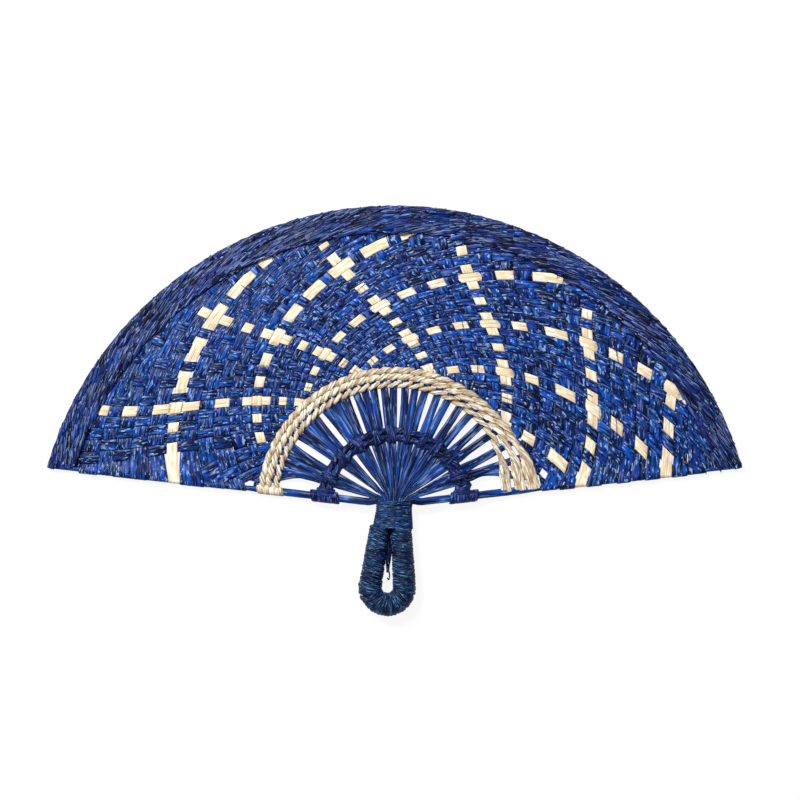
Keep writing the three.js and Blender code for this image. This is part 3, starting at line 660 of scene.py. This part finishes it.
STRIPS = [strips_of(strand) for strand in range(STRANDS)]
HUNG = [hung(place) for place in range(HUNG_STRIPS)]
all_legs = [leg for pair in STRIPS for strip in pair for leg in strip] + HUNG
for right in [leg for leg in all_legs if leg.leans_right]:
    for left in [leg for leg in all_legs if not leg.leans_right]:
        low = max(right.start, left.start)
        high = min(right.end, left.end)
        if low >= high or right.angle(low) <= left.angle(low) or right.angle(high) >= left.angle(high):
            continue
        depth = root_between(low, high, lambda v: right.angle(v) - left.angle(v))
        crossing = Crossing(depth, right, left)
        if inside_rim(crossing.point) >= BORDER_DEPTH:
            right.crossings.append(crossing)
            left.crossings.append(crossing)
for leg in all_legs:
    leg.crossings.sort(key=lambda crossing: crossing.depth)


def widest(leg):
    """Broadest that the strips of this place of the blade are."""
    share = clamp(leg.order / STRANDS)
    beside = max(0, share - LEFT_MIDDLE[1]) + max(0, LEFT_MIDDLE[0] - share)
    most = RIGHT_WIDEST if leg.leans_right else LEFT_WIDEST + LEFT_WIDENING * beside
    return min(CREAM_WIDTH, most) if leg.cream else most


def room(leg, crossing):
    """Half widths of a leg at a crossing, along the other leg, towards its start and its end."""
    other = crossing.other(leg)
    row = other.crossings
    place = next(number for number, one in enumerate(row) if one is crossing)
    slant = abs(leg.heading(crossing.depth).cross(other.heading(crossing.depth)).z)
    most = widest(leg) / 2 / max(LEAST_SLANT, slant)
    halves = []
    for number in (place - 1, place + 1):
        if 0 <= number < len(row):
            beside = row[number]
            bare = other.cream and beside.other(other).cream and beside.level(other) > 0
            fill = CROSS_FILL if bare else STRIP_FILL
            halves.append(min(most, fill * (beside.point - crossing.point).length / 2))
        else:
            halves.append(None)
    low, high = halves
    if low is None:
        low = most if high is None else high
    return low, low if high is None else high


# A place on a leg: the two edges of the strip, its level, and how far it stays level each way.
LEVEL_REACH = 0.6
Station = namedtuple("Station", "depth low high level before after", defaults=[LEVEL_REACH, LEVEL_REACH])


def stations_of(leg, start_edges, end_edges):
    flip = -1 if leg.face_down else 1
    level = PLAIT_RISE if leg.leans_right and not leg.cream else -PLAIT_RISE
    places = [Station(leg.start, *start_edges)]
    for crossing in leg.crossings:
        along = crossing.other(leg).heading(crossing.depth) * flip
        low, high = room(leg, crossing)
        if leg.face_down:
            low, high = high, low
        before, after = room(crossing.other(leg), crossing)
        height = crossing.level(leg)
        places.append(Station(crossing.depth, along * -low, along * high, height, before, after))
    if end_edges:
        places.append(Station(leg.end, *end_edges))
    else:
        for depth in sorted({min(leg.border, leg.end), leg.end}):
            last = places[-1]
            if depth > last.depth:
                places.append(Station(depth, last.low, last.high, level))
    return places


def leg_rings(leg, places):
    """Rings along a leg: level over a crossing strip, a quick slope in the gap beside it."""
    rings = []

    def ring(here, there, share, height):
        centre = leg.point(mix(here.depth, there.depth, share))
        low = here.low.lerp(there.low, share)
        high = here.high.lerp(there.high, share)
        rise = -UP if leg.face_down else UP
        middle = centre + (low + high) / 2 + UP * height
        rings.append((middle, (high - low) / 2, rise * STRIP_HALF_THICKNESS))

    for here, there in zip(places, places[1:]):
        run = (leg.point(there.depth) - leg.point(here.depth)).length
        slope_start, slope_end = here.after, run - there.before
        if slope_end - slope_start < SHORTEST_SLOPE:
            middle = clamp((slope_start + slope_end) / 2, 0.3 * run, 0.7 * run)
            half = min(SHORTEST_SLOPE / 2, 0.3 * run)
            slope_start, slope_end = middle - half, middle + half
        stops = [0.0] + [mix(slope_start, slope_end, part) for part in (0, 0.25, 0.5, 0.75, 1)]
        for stop in stops:
            rise = smooth_step((stop - slope_start) / (slope_end - slope_start))
            ring(here, there, clamp(stop / run), mix(here.level, there.level, rise))
    ring(places[-2], places[-1], 1.0, places[-1].level)
    return rings


CREAM_FOOT = 3.4  # most that a strip reaches to each side where it lies on a rod
BLUE_FOOT = 6.2
FOOT_LEVEL = ROD_RADIUS * 1.2
FOOT_GAP = 0.15
FOOT_UNEVEN = 0.35
BEND_STEPS = 8
BEND_DEGREES = 85  # each way from the outer side of the rod
rod_places = {1: [], -1: []}
for leg in all_legs:
    if leg.face_down:
        rod_places[-leg.side].append((leg.point(leg.start).dot(edge_along(-leg.side)), leg.cream))


def rod_edges(side, place, cream):
    """Both edges of a strip where it lies on an edge rod: outwards, and towards the neck."""

    def reach(direction):
        gaps = [((other - place) * direction, other_cream) for other, other_cream in rod_places[side]]
        gap, beside_cream = min((one for one in gaps if one[0] > 0.01), default=(BLUE_FOOT * 2, False))
        if cream:
            return min(CREAM_FOOT, STRIP_FILL * gap / 2)
        return gap - CREAM_FOOT if beside_cream else min(BLUE_FOOT, STRIP_FILL * gap / 2)

    outward = edge_along(side)
    return outward * reach(1), outward * -reach(-1)


def bend_rings(side, place, cream):
    """Rings from under an edge rod, round it and on top."""
    low, high = rod_edges(side, place, cream)
    reach = ROD_RADIUS + STRIP_HALF_THICKNESS + FOOT_GAP + FOOT_UNEVEN * (1 + math.sin(1.9 * place))
    rings = []
    for step in range(BEND_STEPS + 1):
        turn = math.radians(mix(BEND_DEGREES, -BEND_DEGREES, step / BEND_STEPS))
        away = edge_out(side) * math.cos(turn) - UP * math.sin(turn)
        centre = edge_along(side) * place + (low + high) / 2 + away * reach
        rings.append((centre, (high - low) / 2, away * -STRIP_HALF_THICKNESS))
    return rings


def strip_rings(strip):
    """All rings of a strip: from the arch or from round a rod, then run after run."""
    rings = []
    for leg in strip:
        start_side = -leg.side
        if leg.face_down:
            place = leg.point(leg.start).dot(edge_along(start_side))
            rings += bend_rings(start_side, place, leg.cream)
            start = (*rod_edges(start_side, place, leg.cream), FOOT_LEVEL)
        else:
            tangent = UP.cross(polar(1, leg.angle(0))) * leg.side
            start = (tangent * -STRIP_START, tangent * STRIP_START, PLAIT_RISE * leg.side)
        end = None
        if leg.turns:
            place = leg.point(leg.end).dot(edge_along(leg.side))
            end = (*rod_edges(leg.side, place, leg.cream), -FOOT_LEVEL)
        for ring in leg_rings(leg, stations_of(leg, start, end)):
            clear_start = not leg.face_down or above_edge(ring[0], start_side) > ROD_RADIUS
            clear_end = not leg.turns or above_edge(ring[0], leg.side) > ROD_RADIUS
            if clear_start and clear_end:
                rings.append(ring)
    return rings


def leaf_rings(rib, strands, strand):
    """A leaf of a rib, from the neck through the hub to the arch."""
    axis = rib_angle(strands)
    if rib in (0, len(STRANDS_PER_RIB) - 1):
        axis = mix(axis, math.pi / 2, OUTER_RIB_RISE)
    place = strands.index(strand) - (len(strands) - 1) / 2
    sector = strand_angle(strands[0] - 0.5) - strand_angle(strands[-1] + 0.5)
    width = clamp(sector * HUB_RADIUS - RIB_GAP, RIB_LEAST_WIDTH, RIB_WIDTH)
    pitch = width / len(strands) / HUB_RADIUS
    reach = WEAVE_RADIUS - 1.5 if is_cream(strand) else WEAVE_RADIUS + 1
    radii = [14, 20, 27, 33, HUB_RADIUS, 46, 53, 60, RISE_RADIUS, 72, reach]
    stops, sizes = [], []
    for point in neck_points(rib + 1, axis)[:2]:
        stops.append(point + Vector((place * 0.3, 0, 0)))
        sizes.append(Vector((0.5, 2.2, 0)))
    jitter = chance.uniform(-0.25, 0.25)
    inner_fill = INNER_LEAF_FILL if abs(axis - math.pi / 2) < MIDDLE_RIBS else LEAF_FILL
    for radius in radii:
        opened = smooth_step((radius - RIB_OPENING) / (WEAVE_RADIUS + 2 - RIB_OPENING))
        angle = mix(axis - place * pitch, strand_angle(strand), opened)
        lift = climb(radius) + 0.3 * (place % 2) + jitter
        stops.append(polar(radius, angle, lift if radius < RISE_RADIUS else lift * 0.4))
        closed = mix(inner_fill, LEAF_FILL, clamp((radius - 22) / 20))
        half = mix(pitch * radius * closed, LEAF_HALF_WIDTH, smooth_step((radius - HUB_RADIUS) / 15))
        sizes.append(Vector((max(0.6, half), mix(1.5, 0.6, clamp((radius - 14) / 40)), 0)))
    sizes = traced(sizes, RIB_STEPS)
    return ribbon(traced(stops, RIB_STEPS), UP, [size.x for size in sizes], [size.y for size in sizes])


FIBRE_HALF_WIDTH = 0.16
FIBRE_HALF_THICKNESS = 0.1
FIBRE_TONE = 0.078
FIBRES_PER_STRIP = 3


def loose_fibre(rings):
    """A fibre that has come off a strip and stands up a little from its face."""
    first = chance.randrange(max(1, len(rings) - 9))
    run = rings[first:first + 8]
    lean = chance.uniform(-1.2, 1.2)
    centres = []
    for number, (centre, across, rise) in enumerate(run):
        share = number / max(1, len(run) - 1)
        lift = PLAIT_RISE - min(centre.z, PLAIT_RISE) + 0.45 + 0.9 * math.sin(math.pi * share)
        centres.append(centre + across * (lean * (share - 0.4)) + UP * lift)
    return ribbon(centres, UP, FIBRE_HALF_WIDTH, FIBRE_HALF_THICKNESS), FIBRE_TONE


lowest = STRIPS[LEFT_LEVEL[0]][1]
for rib, strands in enumerate(RIB_STRANDS):
    routes = [(leaf_rings(rib, strands, strand), 1 + chance.random()) for strand in strands]
    strips = [strip for strand in strands for strip in STRIPS[strand] if strip is not lowest]
    if rib == LEVEL_RIB:
        strips.append(lowest)
    dyed = [strip_rings(strip) for strip in strips if not strip[0].cream]
    routes += [(rings, chance.random()) for rings in dyed]
    routes += [loose_fibre(rings) for rings in dyed * FIBRES_PER_STRIP]
    label = f"{rib + 1:02d}"
    leaf_piece(f"leaves_{label}", routes, BLUE_PALM, STRIP_SECTION, [f"rib_{label}"])

# Cream strips
# Five strands of undyed leaf are laid in with the blue ones. Each is folded over the arch, so one arm
# leans right and the other left, and together they draw the open check. The first has a right arm only.
CREAM_PALM = palm(
    "cream_palm",
    deep=srgb(224, 200, 162),
    body=srgb(255, 249, 230),
    cast=srgb(253, 241, 217),
    pale=srgb(255, 252, 242),
    mottle_and_glint=0.3,
    roughness=0.45,
)
for number, strand in enumerate(range(FIRST_CREAM, STRANDS, CREAM_EVERY), 1):
    routes = [(strip_rings(strip), chance.random()) for strip in STRIPS[strand] if strip[0].cream]
    nodes = [f"cream_strip_{number}"]
    leaf_piece(f"cream_arms_{number}", routes, CREAM_PALM, STRIP_SECTION, nodes)

# Strips hung on the left rod
# The left edge is too long for the strands, so more leaf is hung on the rod there: each strip comes
# round the rod from behind and joins the plait. One is undyed; the others are two narrow leaves each.
HUNG_PIECES = 8  # the last piece also holds the strip nearest to the rim


def halved(rings):
    """Two narrow leaves in the place of a broad one."""
    pair = []
    for side in (-0.5, 0.5):
        narrow = [(centre + across * side, across * 0.52, rise) for centre, across, rise in rings]
        pair.append((narrow, chance.random()))
    return pair


for place, leg in enumerate(HUNG[:HUNG_PIECES]):
    rings = strip_rings([leg])
    routes = [(rings, chance.random())] if leg.cream else halved(rings)
    if place == HUNG_PIECES - 1:
        routes += [route for last in HUNG[HUNG_PIECES:] for route in halved(strip_rings([last]))]
    material, slot = (CREAM_PALM, "cream_palm") if leg.cream else (BLUE_PALM, "blue_palm")
    label = f"{place + 1:02d}"
    leaf_piece(f"hung_leaf_{label}", routes, material, STRIP_SECTION, [f"hung_strip_{label}"])

# Hub rows
# Two rows of dark leaf are twined round the ribs near the neck and hold them apart. The two leaves of
# a row change faces between the ribs, in a thick knuckle on every rib; their ends are wound on the rods.
DARK_PALM = palm(
    "dark_palm",
    deep=srgb(2, 6, 30),
    body=srgb(12, 52, 134),
    cast=srgb(28, 46, 124),
    pale=srgb(130, 150, 210),
    mottle_and_glint=0.5,
    roughness=0.34,
)
TWINE_SECTION = {"Section Points": 14, "Squareness": 0.8, "Folds": 2.0, "Crease": 0.3, "Fray": 0.25}
HUB_RADII = (38.4, 42.2)
KNOT_RADIUS = sum(HUB_RADII) / 2
KNOT_REACH = 5  # along the rib, each way
KNOT_STOPS = [(-1, 0.6), (-0.8, 2.4), (-0.45, 3.3), (0, 3.6), (0.45, 3.3), (0.8, 2.4), (1, 0.6)]
KNOT_SPACING = 0.05  # angle between the knots of the two rows on a rib
KNOT_HALF_THICKNESS = 0.6
HUB_COIL_REACH = 4.2  # along the rod, each way
HUB_COIL_SHIFT = 1.5  # by which the coils of the two rows stand further apart than the rows
TWINE_STEPS = 10  # in a stitch
COIL_STEPS = 16  # in a turn


def never(place):
    return 0.0


def between(angles, place):
    number = min(int(place), len(angles) - 2)
    return mix(angles[number], angles[number + 1], place - number)


def twined(angles, radius_at, rise, phase, swing, lift, half_width, half_thickness, loose=never):
    """One leaf of a twined row: on the face over every second member, outward on its way down."""
    centres, ups, halves = [], [], []
    for step in range((len(angles) - 1) * TWINE_STEPS + 1):
        place = step / TWINE_STEPS
        turn = math.pi * (place + phase)
        angle = between(angles, place)
        out = polar(1, angle)
        point = polar(radius_at(place), angle, rise)
        face = math.cos(turn)
        slack = loose(place)
        height = mix(lift * math.copysign(abs(face) ** 0.6, face), lift, slack)
        centres.append(point + out * (swing * math.sin(turn) * (1 - slack)) + UP * height)
        ups.append((UP * mix(face, 1, slack) + out * (0.6 * math.sin(turn) * (1 - slack))).normalized())
        halves.append(half_width * (1 + 0.3 * slack + 0.12 * math.sin(1.7 * step + 5 * phase)))
    return ribbon(centres, ups, halves, half_thickness)


def rod_coil(side, first, last, turns, reach, half_width, half_thickness):
    """A leaf wound round an edge rod."""
    centres, ups = [], []
    steps = round(turns * COIL_STEPS)
    for step in range(steps + 1):
        place = mix(first, last, step / steps)
        turn = 2 * math.pi * turns * step / steps
        away = edge_out(side) * math.cos(turn) + UP * math.sin(turn)
        centres.append(edge_along(side) * place + UP * climb(place) + away * reach)
        ups.append(away)
    return ribbon(centres, ups, half_width, half_thickness)


rib_angles = [rib_angle(strands) for strands in RIB_STRANDS]
hub_angles = [math.pi - EDGE_RISE, *rib_angles, EDGE_RISE]
for row, radius in enumerate(HUB_RADII, 1):
    routes = []
    for phase in (0, 1):
        rings = twined(
            hub_angles,
            lambda place: radius,
            rise=climb(radius),
            phase=phase + row,
            swing=1.1,
            lift=2.2,
            half_width=2.6,
            half_thickness=1.0,
        )
        routes.append((rings, chance.random()))
    for angle in rib_angles:
        skew = chance.uniform(-0.04, 0.04)
        beside = angle + (row - 1.5) * KNOT_SPACING
        centres = [
            polar(KNOT_RADIUS + KNOT_REACH * out, beside + skew * out, climb(HUB_RADIUS) + lift)
            for out, lift in KNOT_STOPS
        ]
        half_width = chance.uniform(0.9, 1.5)
        routes.append((ribbon(centres, UP, half_width, KNOT_HALF_THICKNESS), chance.random()))
    for side in (-1, 1):
        middle = radius + HUB_COIL_SHIFT * (row - 1.5)
        first, last = middle - HUB_COIL_REACH, middle + HUB_COIL_REACH
        coil = rod_coil(side, first, last, turns=2.5, reach=2.9, half_width=2.2, half_thickness=0.7)
        routes.append((coil, chance.random()))
    nodes = [f"hub_twine_{row}_{face}" for face in ("front", "back")]
    leaf_piece(f"hub_row_{row}", routes, DARK_PALM, TWINE_SECTION, nodes)

# Arch rows
# Three rows of undyed leaf are twined round the strands where the plait begins, the inner one apart.
# On the left they are wound on the rod; on the right the leaves part and end flat on it, side by side.
ARCH_ROWS = (  # radius, half width, and how far each of the two leaves moves where they part
    (69, 1.3, (-5.6, -2.4)),
    (73.6, 1.75, (-1.8, 0.9)),
    (77.2, 1.75, (1.8, 5.2)),
)
ARCH_PALM = palm(
    "undyed_twine",
    deep=srgb(172, 146, 110),
    body=srgb(255, 250, 232),
    cast=srgb(254, 243, 220),
    pale=srgb(255, 252, 242),
    mottle_and_glint=0.3,
    roughness=0.5,
)
ARCH_LOOSE = 5  # stitches over which the leaves part
arch_angles = [math.pi - EDGE_RISE, *[strand_angle(strand) for strand in range(STRANDS)], EDGE_RISE]
arch_stitches = len(arch_angles) - 1


def parting(place):
    return smooth_step((place - arch_stitches + ARCH_LOOSE) / ARCH_LOOSE)


for row, (radius, half_width, parts) in enumerate(ARCH_ROWS, 1):
    routes = []
    for phase, part in enumerate(parts):
        rings = twined(
            arch_angles,
            lambda place: radius + part * parting(place),
            rise=0.0,
            phase=phase,
            swing=1.0,
            lift=1.5,
            half_width=half_width,
            half_thickness=1.0,
            loose=lambda place: 0.8 * parting(place),
        )
        routes.append((rings, chance.random()))
    coil = rod_coil(-1, radius - 3, radius + 1.5, turns=1.6, reach=2.05, half_width=2.1, half_thickness=0.6)
    routes.append((coil, chance.random()))
    nodes = [f"arch_twine_{row}_{face}" for face in ("front", "back")]
    leaf_piece(f"arch_row_{row}", routes, ARCH_PALM, TWINE_SECTION, nodes)

# Border rows
# Dark leaf is wound round the ends of the strips in flat stitches, row on row, before and behind them.
# The stitches lie almost along the rim and lean a little across the rows, so that no gap is left.
BORDER_PALM = palm(
    "border_palm",
    deep=srgb(1, 3, 20),
    body=srgb(14, 68, 162),
    cast=srgb(38, 58, 150),
    pale=srgb(160, 184, 248),
    mottle_and_glint=0.95,
    roughness=0.34,
)
BORDER_ROWS = 3
BORDER_ROW_PITCH = 3.5
BORDER_KEEP = 0.5  # height above the rods at which the rows end
CLOSING_RADIUS = 190.8  # band that closes the corners behind the innermost row
BAND_STEPS = 160
STITCH_LEAN = math.radians(13)
STITCH_STEP = 3.0  # along the rim, from stitch to stitch
STITCH_BULGE = 0.4  # most that a stitch stands out over the rim
STITCH_BUNCH = 4  # stitches of one leaf, with the same depth of dye
STITCH_SECTION = {"Section Points": 8, "Squareness": 0.8, "Folds": 1.0, "Crease": 0.3, "Fray": 0.3}


def rim_point(radius, angle, height=0.0):
    return polar(radius, angle, height) - Vector((0, RIM_DROP, 0))


def arc_ends(radius, keep):
    """Angles about the rim's centre at which an arc comes down to the edge rods."""
    low = root_between(0, 1.2, lambda angle: above_edge(rim_point(radius, angle), 1) - keep)
    return low, math.pi - low


def band(radius, keep, level, half_width, half_thickness):
    """A leaf that is laid along the border."""
    first, last = arc_ends(radius, keep)
    centres, halves = [], []
    for step in range(BAND_STEPS + 1):
        centres.append(rim_point(radius, mix(first, last, step / BAND_STEPS), level))
        halves.append(half_width * (1 + 0.12 * math.sin(2.3 * step) * math.sin(0.37 * step)))
    return ribbon(centres, UP, halves, half_thickness)


def stitch_rings(radius, angle, level):
    """One flat stitch; rings that would leave the rim or the rods are left out."""
    along = polar(1, angle + math.pi / 2 + STITCH_LEAN + chance.gauss(0, 0.07))
    middle = rim_point(radius + chance.uniform(-1.4, 1.4), angle)
    half_length = chance.uniform(3.8, 7.5)
    height = level * chance.uniform(0.9, 1.12)
    half_width = chance.uniform(0.8, 1.7)
    centres, halves = [], []
    for step in range(7):
        share = step / 3 - 1
        centre = middle + along * (share * half_length) + UP * (height - 0.45 * level * share ** 2)
        beside_rod = min(above_edge(centre, 1), above_edge(centre, -1))
        if inside_rim(centre) > half_width - STITCH_BULGE and beside_rod > -1:
            centres.append(centre)
            halves.append(half_width * (1 - 0.6 * share ** 4))
    if len(centres) < 4:
        return None
    return ribbon(centres, UP * math.copysign(1, level), halves, 0.3)


def stitches(radius, keep, level):
    first, last = arc_ends(radius, keep)
    count = round((last - first) * radius / STITCH_STEP)
    made = []
    for number in range(count):
        if number % STITCH_BUNCH == 0:
            dye = 1 + chance.random()
        angle = mix(first, last, (number + chance.random()) / count)
        rings = stitch_rings(radius, angle, level)
        if rings:
            made.append((rings, dye + chance.uniform(0, 0.015)))
    return made


for row in range(BORDER_ROWS):
    radius = RIM_RADIUS - RIM_CORD_WIDTH - BORDER_ROW_PITCH * (row + 0.5)
    routes = []
    for face in (-1, 1):
        under = band(radius, BORDER_KEEP, 1.15 * face, half_width=2.7, half_thickness=0.3)
        routes.append((under, chance.random()))
        routes += stitches(radius, BORDER_KEEP, 1.75 * face)
    if row == BORDER_ROWS - 1:
        closing = band(CLOSING_RADIUS, BORDER_KEEP, -1.1, half_width=3.0, half_thickness=0.3)
        routes.append((closing, chance.random()))
    nodes = [f"border_row_{row + 1}_{face}" for face in ("front", "back")]
    leaf_piece(f"border_stitches_{row + 1}", routes, BORDER_PALM, STITCH_SECTION, nodes)

# Rim cord
# The outer edge is a roll of dark leaf that closes over the ends of the strips.
# The same stitches run over it.
rim_middle = RIM_RADIUS - RIM_CORD_WIDTH / 2
roll = band(rim_middle, -ROD_RADIUS, 0.0, half_width=2.2, half_thickness=2.1)
routes = [(roll, chance.random())]
for face in (-1, 1):
    routes += stitches(rim_middle, -ROD_RADIUS, 2.1 * face)
leaf_piece("rim_roll", routes, BORDER_PALM, STITCH_SECTION, ["rim_cord"])

# Carrying loop and its wrap
# The bundle of leaf below the neck is bent back on itself; a fine cord of twisted teal fibre is wound
# round it by hand from one end to the other. Its end hangs in the slit between the limbs. A dark strip
# laid in the slit is painted shade: it stands in for the shadow between the limbs.
LOOP_TOP_LEFT = -8.5
LOOP_TOP_RIGHT = 4
LOOP_LEFT = -13.8
LOOP_RIGHT = 5.6
LOOP_BOTTOM = 64.2
LOOP_CORE_TOP = 4
LOOP_CORE_BOTTOM = 5
LOOP_STEPS = 400
WRAP_CORD = 1.5
WRAP_GAP = 0.3  # between the bundle and the cord
WRAP_SLANT = 1.3
WRAP_TURNS = 80
WRAP_STEPS = 20
CORD_OVERLAP = 0.66  # half width of the cord as part of its pitch
TEAL_CORD = palm(
    "teal_cord",
    deep=srgb(0, 1, 8),
    body=srgb(5, 62, 128),
    cast=srgb(12, 38, 104),
    pale=srgb(118, 172, 228),
    mottle_and_glint=0.75,
    roughness=0.36,
)
CORD_SECTION = {"Section Points": 12, "Squareness": 0.9, "Folds": 3.0, "Crease": 0.35, "Fray": 0.3}
bend_radius = (LOOP_RIGHT - LOOP_LEFT) / 2
bend_y = -LOOP_BOTTOM + LOOP_CORE_BOTTOM + WRAP_GAP + WRAP_CORD + bend_radius
bend_middle = Vector(((LOOP_RIGHT + LOOP_LEFT) / 2, bend_y, 0))


def limb(top, wide, part):
    return Vector((mix(top, wide, part), mix(1 - NECK_LENGTH, bend_middle.y, part), NECK_RISE))


loop_points = [limb(LOOP_TOP_LEFT, LOOP_LEFT, 0), limb(LOOP_TOP_LEFT, LOOP_LEFT, 0.4)]
loop_points += [bend_middle + polar(bend_radius, math.pi * (1 + step / 6), NECK_RISE) for step in range(7)]
loop_points += [limb(LOOP_TOP_RIGHT, LOOP_RIGHT, 0.4), limb(LOOP_TOP_RIGHT, LOOP_RIGHT, 0)]
fine = traced(loop_points, LOOP_STEPS)
lengths = [0.0]
for here, there in zip(fine, fine[1:]):
    lengths.append(lengths[-1] + (there - here).length)
loop_length = lengths[-1]


def loop_at(share):
    """Centre, direction, side and core radius of the loop at a share of its length."""
    want = clamp(share) * loop_length
    number = next(n for n in range(LOOP_STEPS) if lengths[n + 1] >= want)
    part = (want - lengths[number]) / (lengths[number + 1] - lengths[number])
    centre = fine[number].lerp(fine[number + 1], part)
    along = (fine[number + 1] - fine[number]).normalized()
    core = mix(LOOP_CORE_TOP, LOOP_CORE_BOTTOM, max(0, math.sin(math.pi * share)) ** 0.7)
    return centre, along, UP.cross(along), core


spots = [loop_at(step / 60) for step in range(61)]
cores = [spot[3] for spot in spots]
bundle = ribbon([spot[0] for spot in spots], UP, cores, cores)
leaf_piece("loop_bundle", [(bundle, 0.4)], BLUE_PALM, STALK_SECTION, ["handle_loop"])


def wobble(amount, turns):
    """Hand-wound unevenness: a chance value for every half turn of a cord."""
    return [chance.uniform(-0.3, 0.3) * amount for half_turn in range(2 * turns + 2)]


def uneven(values, half_turn):
    number = int(half_turn)
    return mix(values[number], values[number + 1], smooth_step(half_turn - number))


wrap_pitch = loop_length / WRAP_TURNS
slips = wobble(wrap_pitch, WRAP_TURNS)
swells = wobble(0.5, WRAP_TURNS)
centres, ups, halves = [], [], []
for step in range(WRAP_TURNS * WRAP_STEPS + 1):
    turn = 2 * math.pi * step / WRAP_STEPS
    half_turn = 2 * step / WRAP_STEPS
    slip = WRAP_SLANT * math.cos(turn) + uneven(slips, half_turn)
    share = step / (WRAP_TURNS * WRAP_STEPS) + slip / loop_length
    centre, along, across, core = loop_at(share)
    outward = across * math.cos(turn) + UP * math.sin(turn)
    reach = core + WRAP_GAP + WRAP_CORD / 2 + uneven(swells, half_turn)
    ahead = loop_at(share + 0.01)
    there = ahead[0] + (ahead[2] * math.cos(turn) + UP * math.sin(turn)) * reach
    here = centre + outward * reach
    crowding = (there - here).length / max(1e-6, (ahead[0] - centre).length)
    centres.append(here)
    ups.append(outward)
    halves.append(CORD_OVERLAP * wrap_pitch * clamp(crowding, 0.3, 2))
routes = [(ribbon(centres, ups, halves, WRAP_CORD / 2), 0.5)]
DARKEST_TONE = 0.948
STRAY_STEPS = 24
# Painted shade: the first of these, a dark strip laid in the slit between the limbs, stands in for the
# shadow there.
slit_shadow = [(-2.6, -13, -1.5), (-3.0, -20, -1.5), (-3.5, -28, -1.5), (-3.7, -34, -1), (-3.8, -39, 0)]
hook = [(-4.4, -33, 0.5), (-3.6, -37, 0.5), (-2.8, -40, 0.6), (-3.2, -43, 0.8), (-4.2, -42, 0.8)]
stray = [(-19.5, -44.6, 1), (-20.6, -45.4, 1.5), (-20.2, -46.4, 1.2), (-21.0, -47, 1.2)]
for stops, thick, thin in ((slit_shadow, 3.4, 0.9), (hook, 0.5, 0.35), (stray, 0.35, 0.25)):
    stops = [Vector(stop) + UP * NECK_RISE for stop in stops]
    girth = [mix(thick, thin, smooth_step(step / STRAY_STEPS)) for step in range(STRAY_STEPS + 1)]
    flat = [min(WRAP_CORD, size) for size in girth]
    routes.append((ribbon(traced(stops, STRAY_STEPS), UP, girth, flat), DARKEST_TONE))
leaf_piece("loop_winding", routes, TEAL_CORD, CORD_SECTION, ["handle_wrap"])

# Neck binding
# The same cord binds the gathered ribs, the edge rods and the ends of the loop, in turns that lie close
# and slant a little; the binding widens towards the limbs.
BINDING_TURNS = 12
BINDING_CORD = 1.5
BINDING_STEPS = 40
BINDING_TOP = 2.0
BINDING_LEFT = -9.9
BINDING_RIGHT = 9.4
BINDING_FLARE = 0.22  # widening towards the left limb, below FLARE_START
FLARE_START = -3
BINDING_HALF_HEIGHT = 4.4
BINDING_SLANT = 0.5
binding_pitch = (NECK_LENGTH + BINDING_TOP) / BINDING_TURNS
slips = wobble(binding_pitch, BINDING_TURNS)
centres, ups = [], []
for step in range(BINDING_TURNS * BINDING_STEPS + 1):
    turn = 2 * math.pi * step / BINDING_STEPS
    y = BINDING_TOP - step / BINDING_STEPS * binding_pitch
    y += uneven(slips, 2 * step / BINDING_STEPS) - BINDING_SLANT * math.cos(turn)
    left = BINDING_LEFT + BINDING_FLARE * min(0, y - FLARE_START)
    half_width = (BINDING_RIGHT - left) / 2
    x = (left + BINDING_RIGHT) / 2 + half_width * math.cos(turn)
    centres.append(Vector((x, y, NECK_RISE + BINDING_HALF_HEIGHT * math.sin(turn))))
    ups.append(Vector((math.cos(turn) / half_width, 0, math.sin(turn) / BINDING_HALF_HEIGHT)).normalized())
rings = ribbon(centres, ups, CORD_OVERLAP * binding_pitch, BINDING_CORD / 2)
leaf_piece("neck_winding", [(rings, 0.6)], TEAL_CORD, CORD_SECTION, ["neck_binding"])

# Table, light and camera
# The fan lies on a white table under one large soft lamp and a pale room, seen straight from above.
VIEW_WIDTH = 0.4624
VIEW_MIDDLE = Vector((0.0032, 0.0060, 0))
LENS = 100
SENSOR = 36

table = bpy.data.meshes.new("table")
table.from_pydata([(-6, -6, 0), (6, -6, 0), (6, 6, 0), (-6, 6, 0)], [], [(0, 1, 2, 3)])
table_object = placed("table", table)
table_white = bpy.data.materials.new("table_white")
table_white.use_nodes = True
bench = Bench(table_white.node_tree)
seen, mirrored, through_glass = bench.node(
    "ShaderNodeLightPath", {}, {}, ("Is Camera Ray", "Is Glossy Ray", "Is Transmission Ray")
)
direct = seen.math("MAXIMUM", seen, mirrored.math("MAXIMUM", mirrored, through_glass))
paint = bench.node("ShaderNodeBsdfDiffuse", {}, {"Color": srgb(210, 210, 210)})
glow = bench.node("ShaderNodeEmission", {}, {"Color": (1, 1, 1, 1), "Strength": 1.1})
sockets = {"Fac": direct * 0.82, 1: paint, 2: glow}
bench.node("ShaderNodeOutputMaterial", {}, {"Surface": bench.node("ShaderNodeMixShader", {}, sockets)})
table.materials.append(table_white)

world = bpy.data.worlds.new("pale_room")
world.use_nodes = True
bench = Bench(world.node_tree)
sky = bench.node("ShaderNodeBackground", {}, {"Color": (1, 1, 1, 1), "Strength": 0.3})
bench.node("ShaderNodeOutputWorld", {}, {"Surface": sky})
bpy.context.scene.world = world

lamp = bpy.data.lights.new("soft_lamp", "AREA")
lamp.energy = 26
lamp.size = 0.5
lamp_object = placed("soft_lamp", lamp)
lamp_object.location = (-0.55, 0.75, 1.1)
lamp_object.rotation_euler = (-lamp_object.location).to_track_quat("-Z", "Y").to_euler()

camera = bpy.data.cameras.new("camera")
camera.lens = LENS
camera.sensor_width = SENSOR
camera_object = placed("camera", camera)
camera_object.location = VIEW_MIDDLE + UP * (VIEW_WIDTH * LENS / SENSOR)
bpy.context.scene.camera = camera_object
bpy.context.scene.view_settings.view_transform = "Standard"
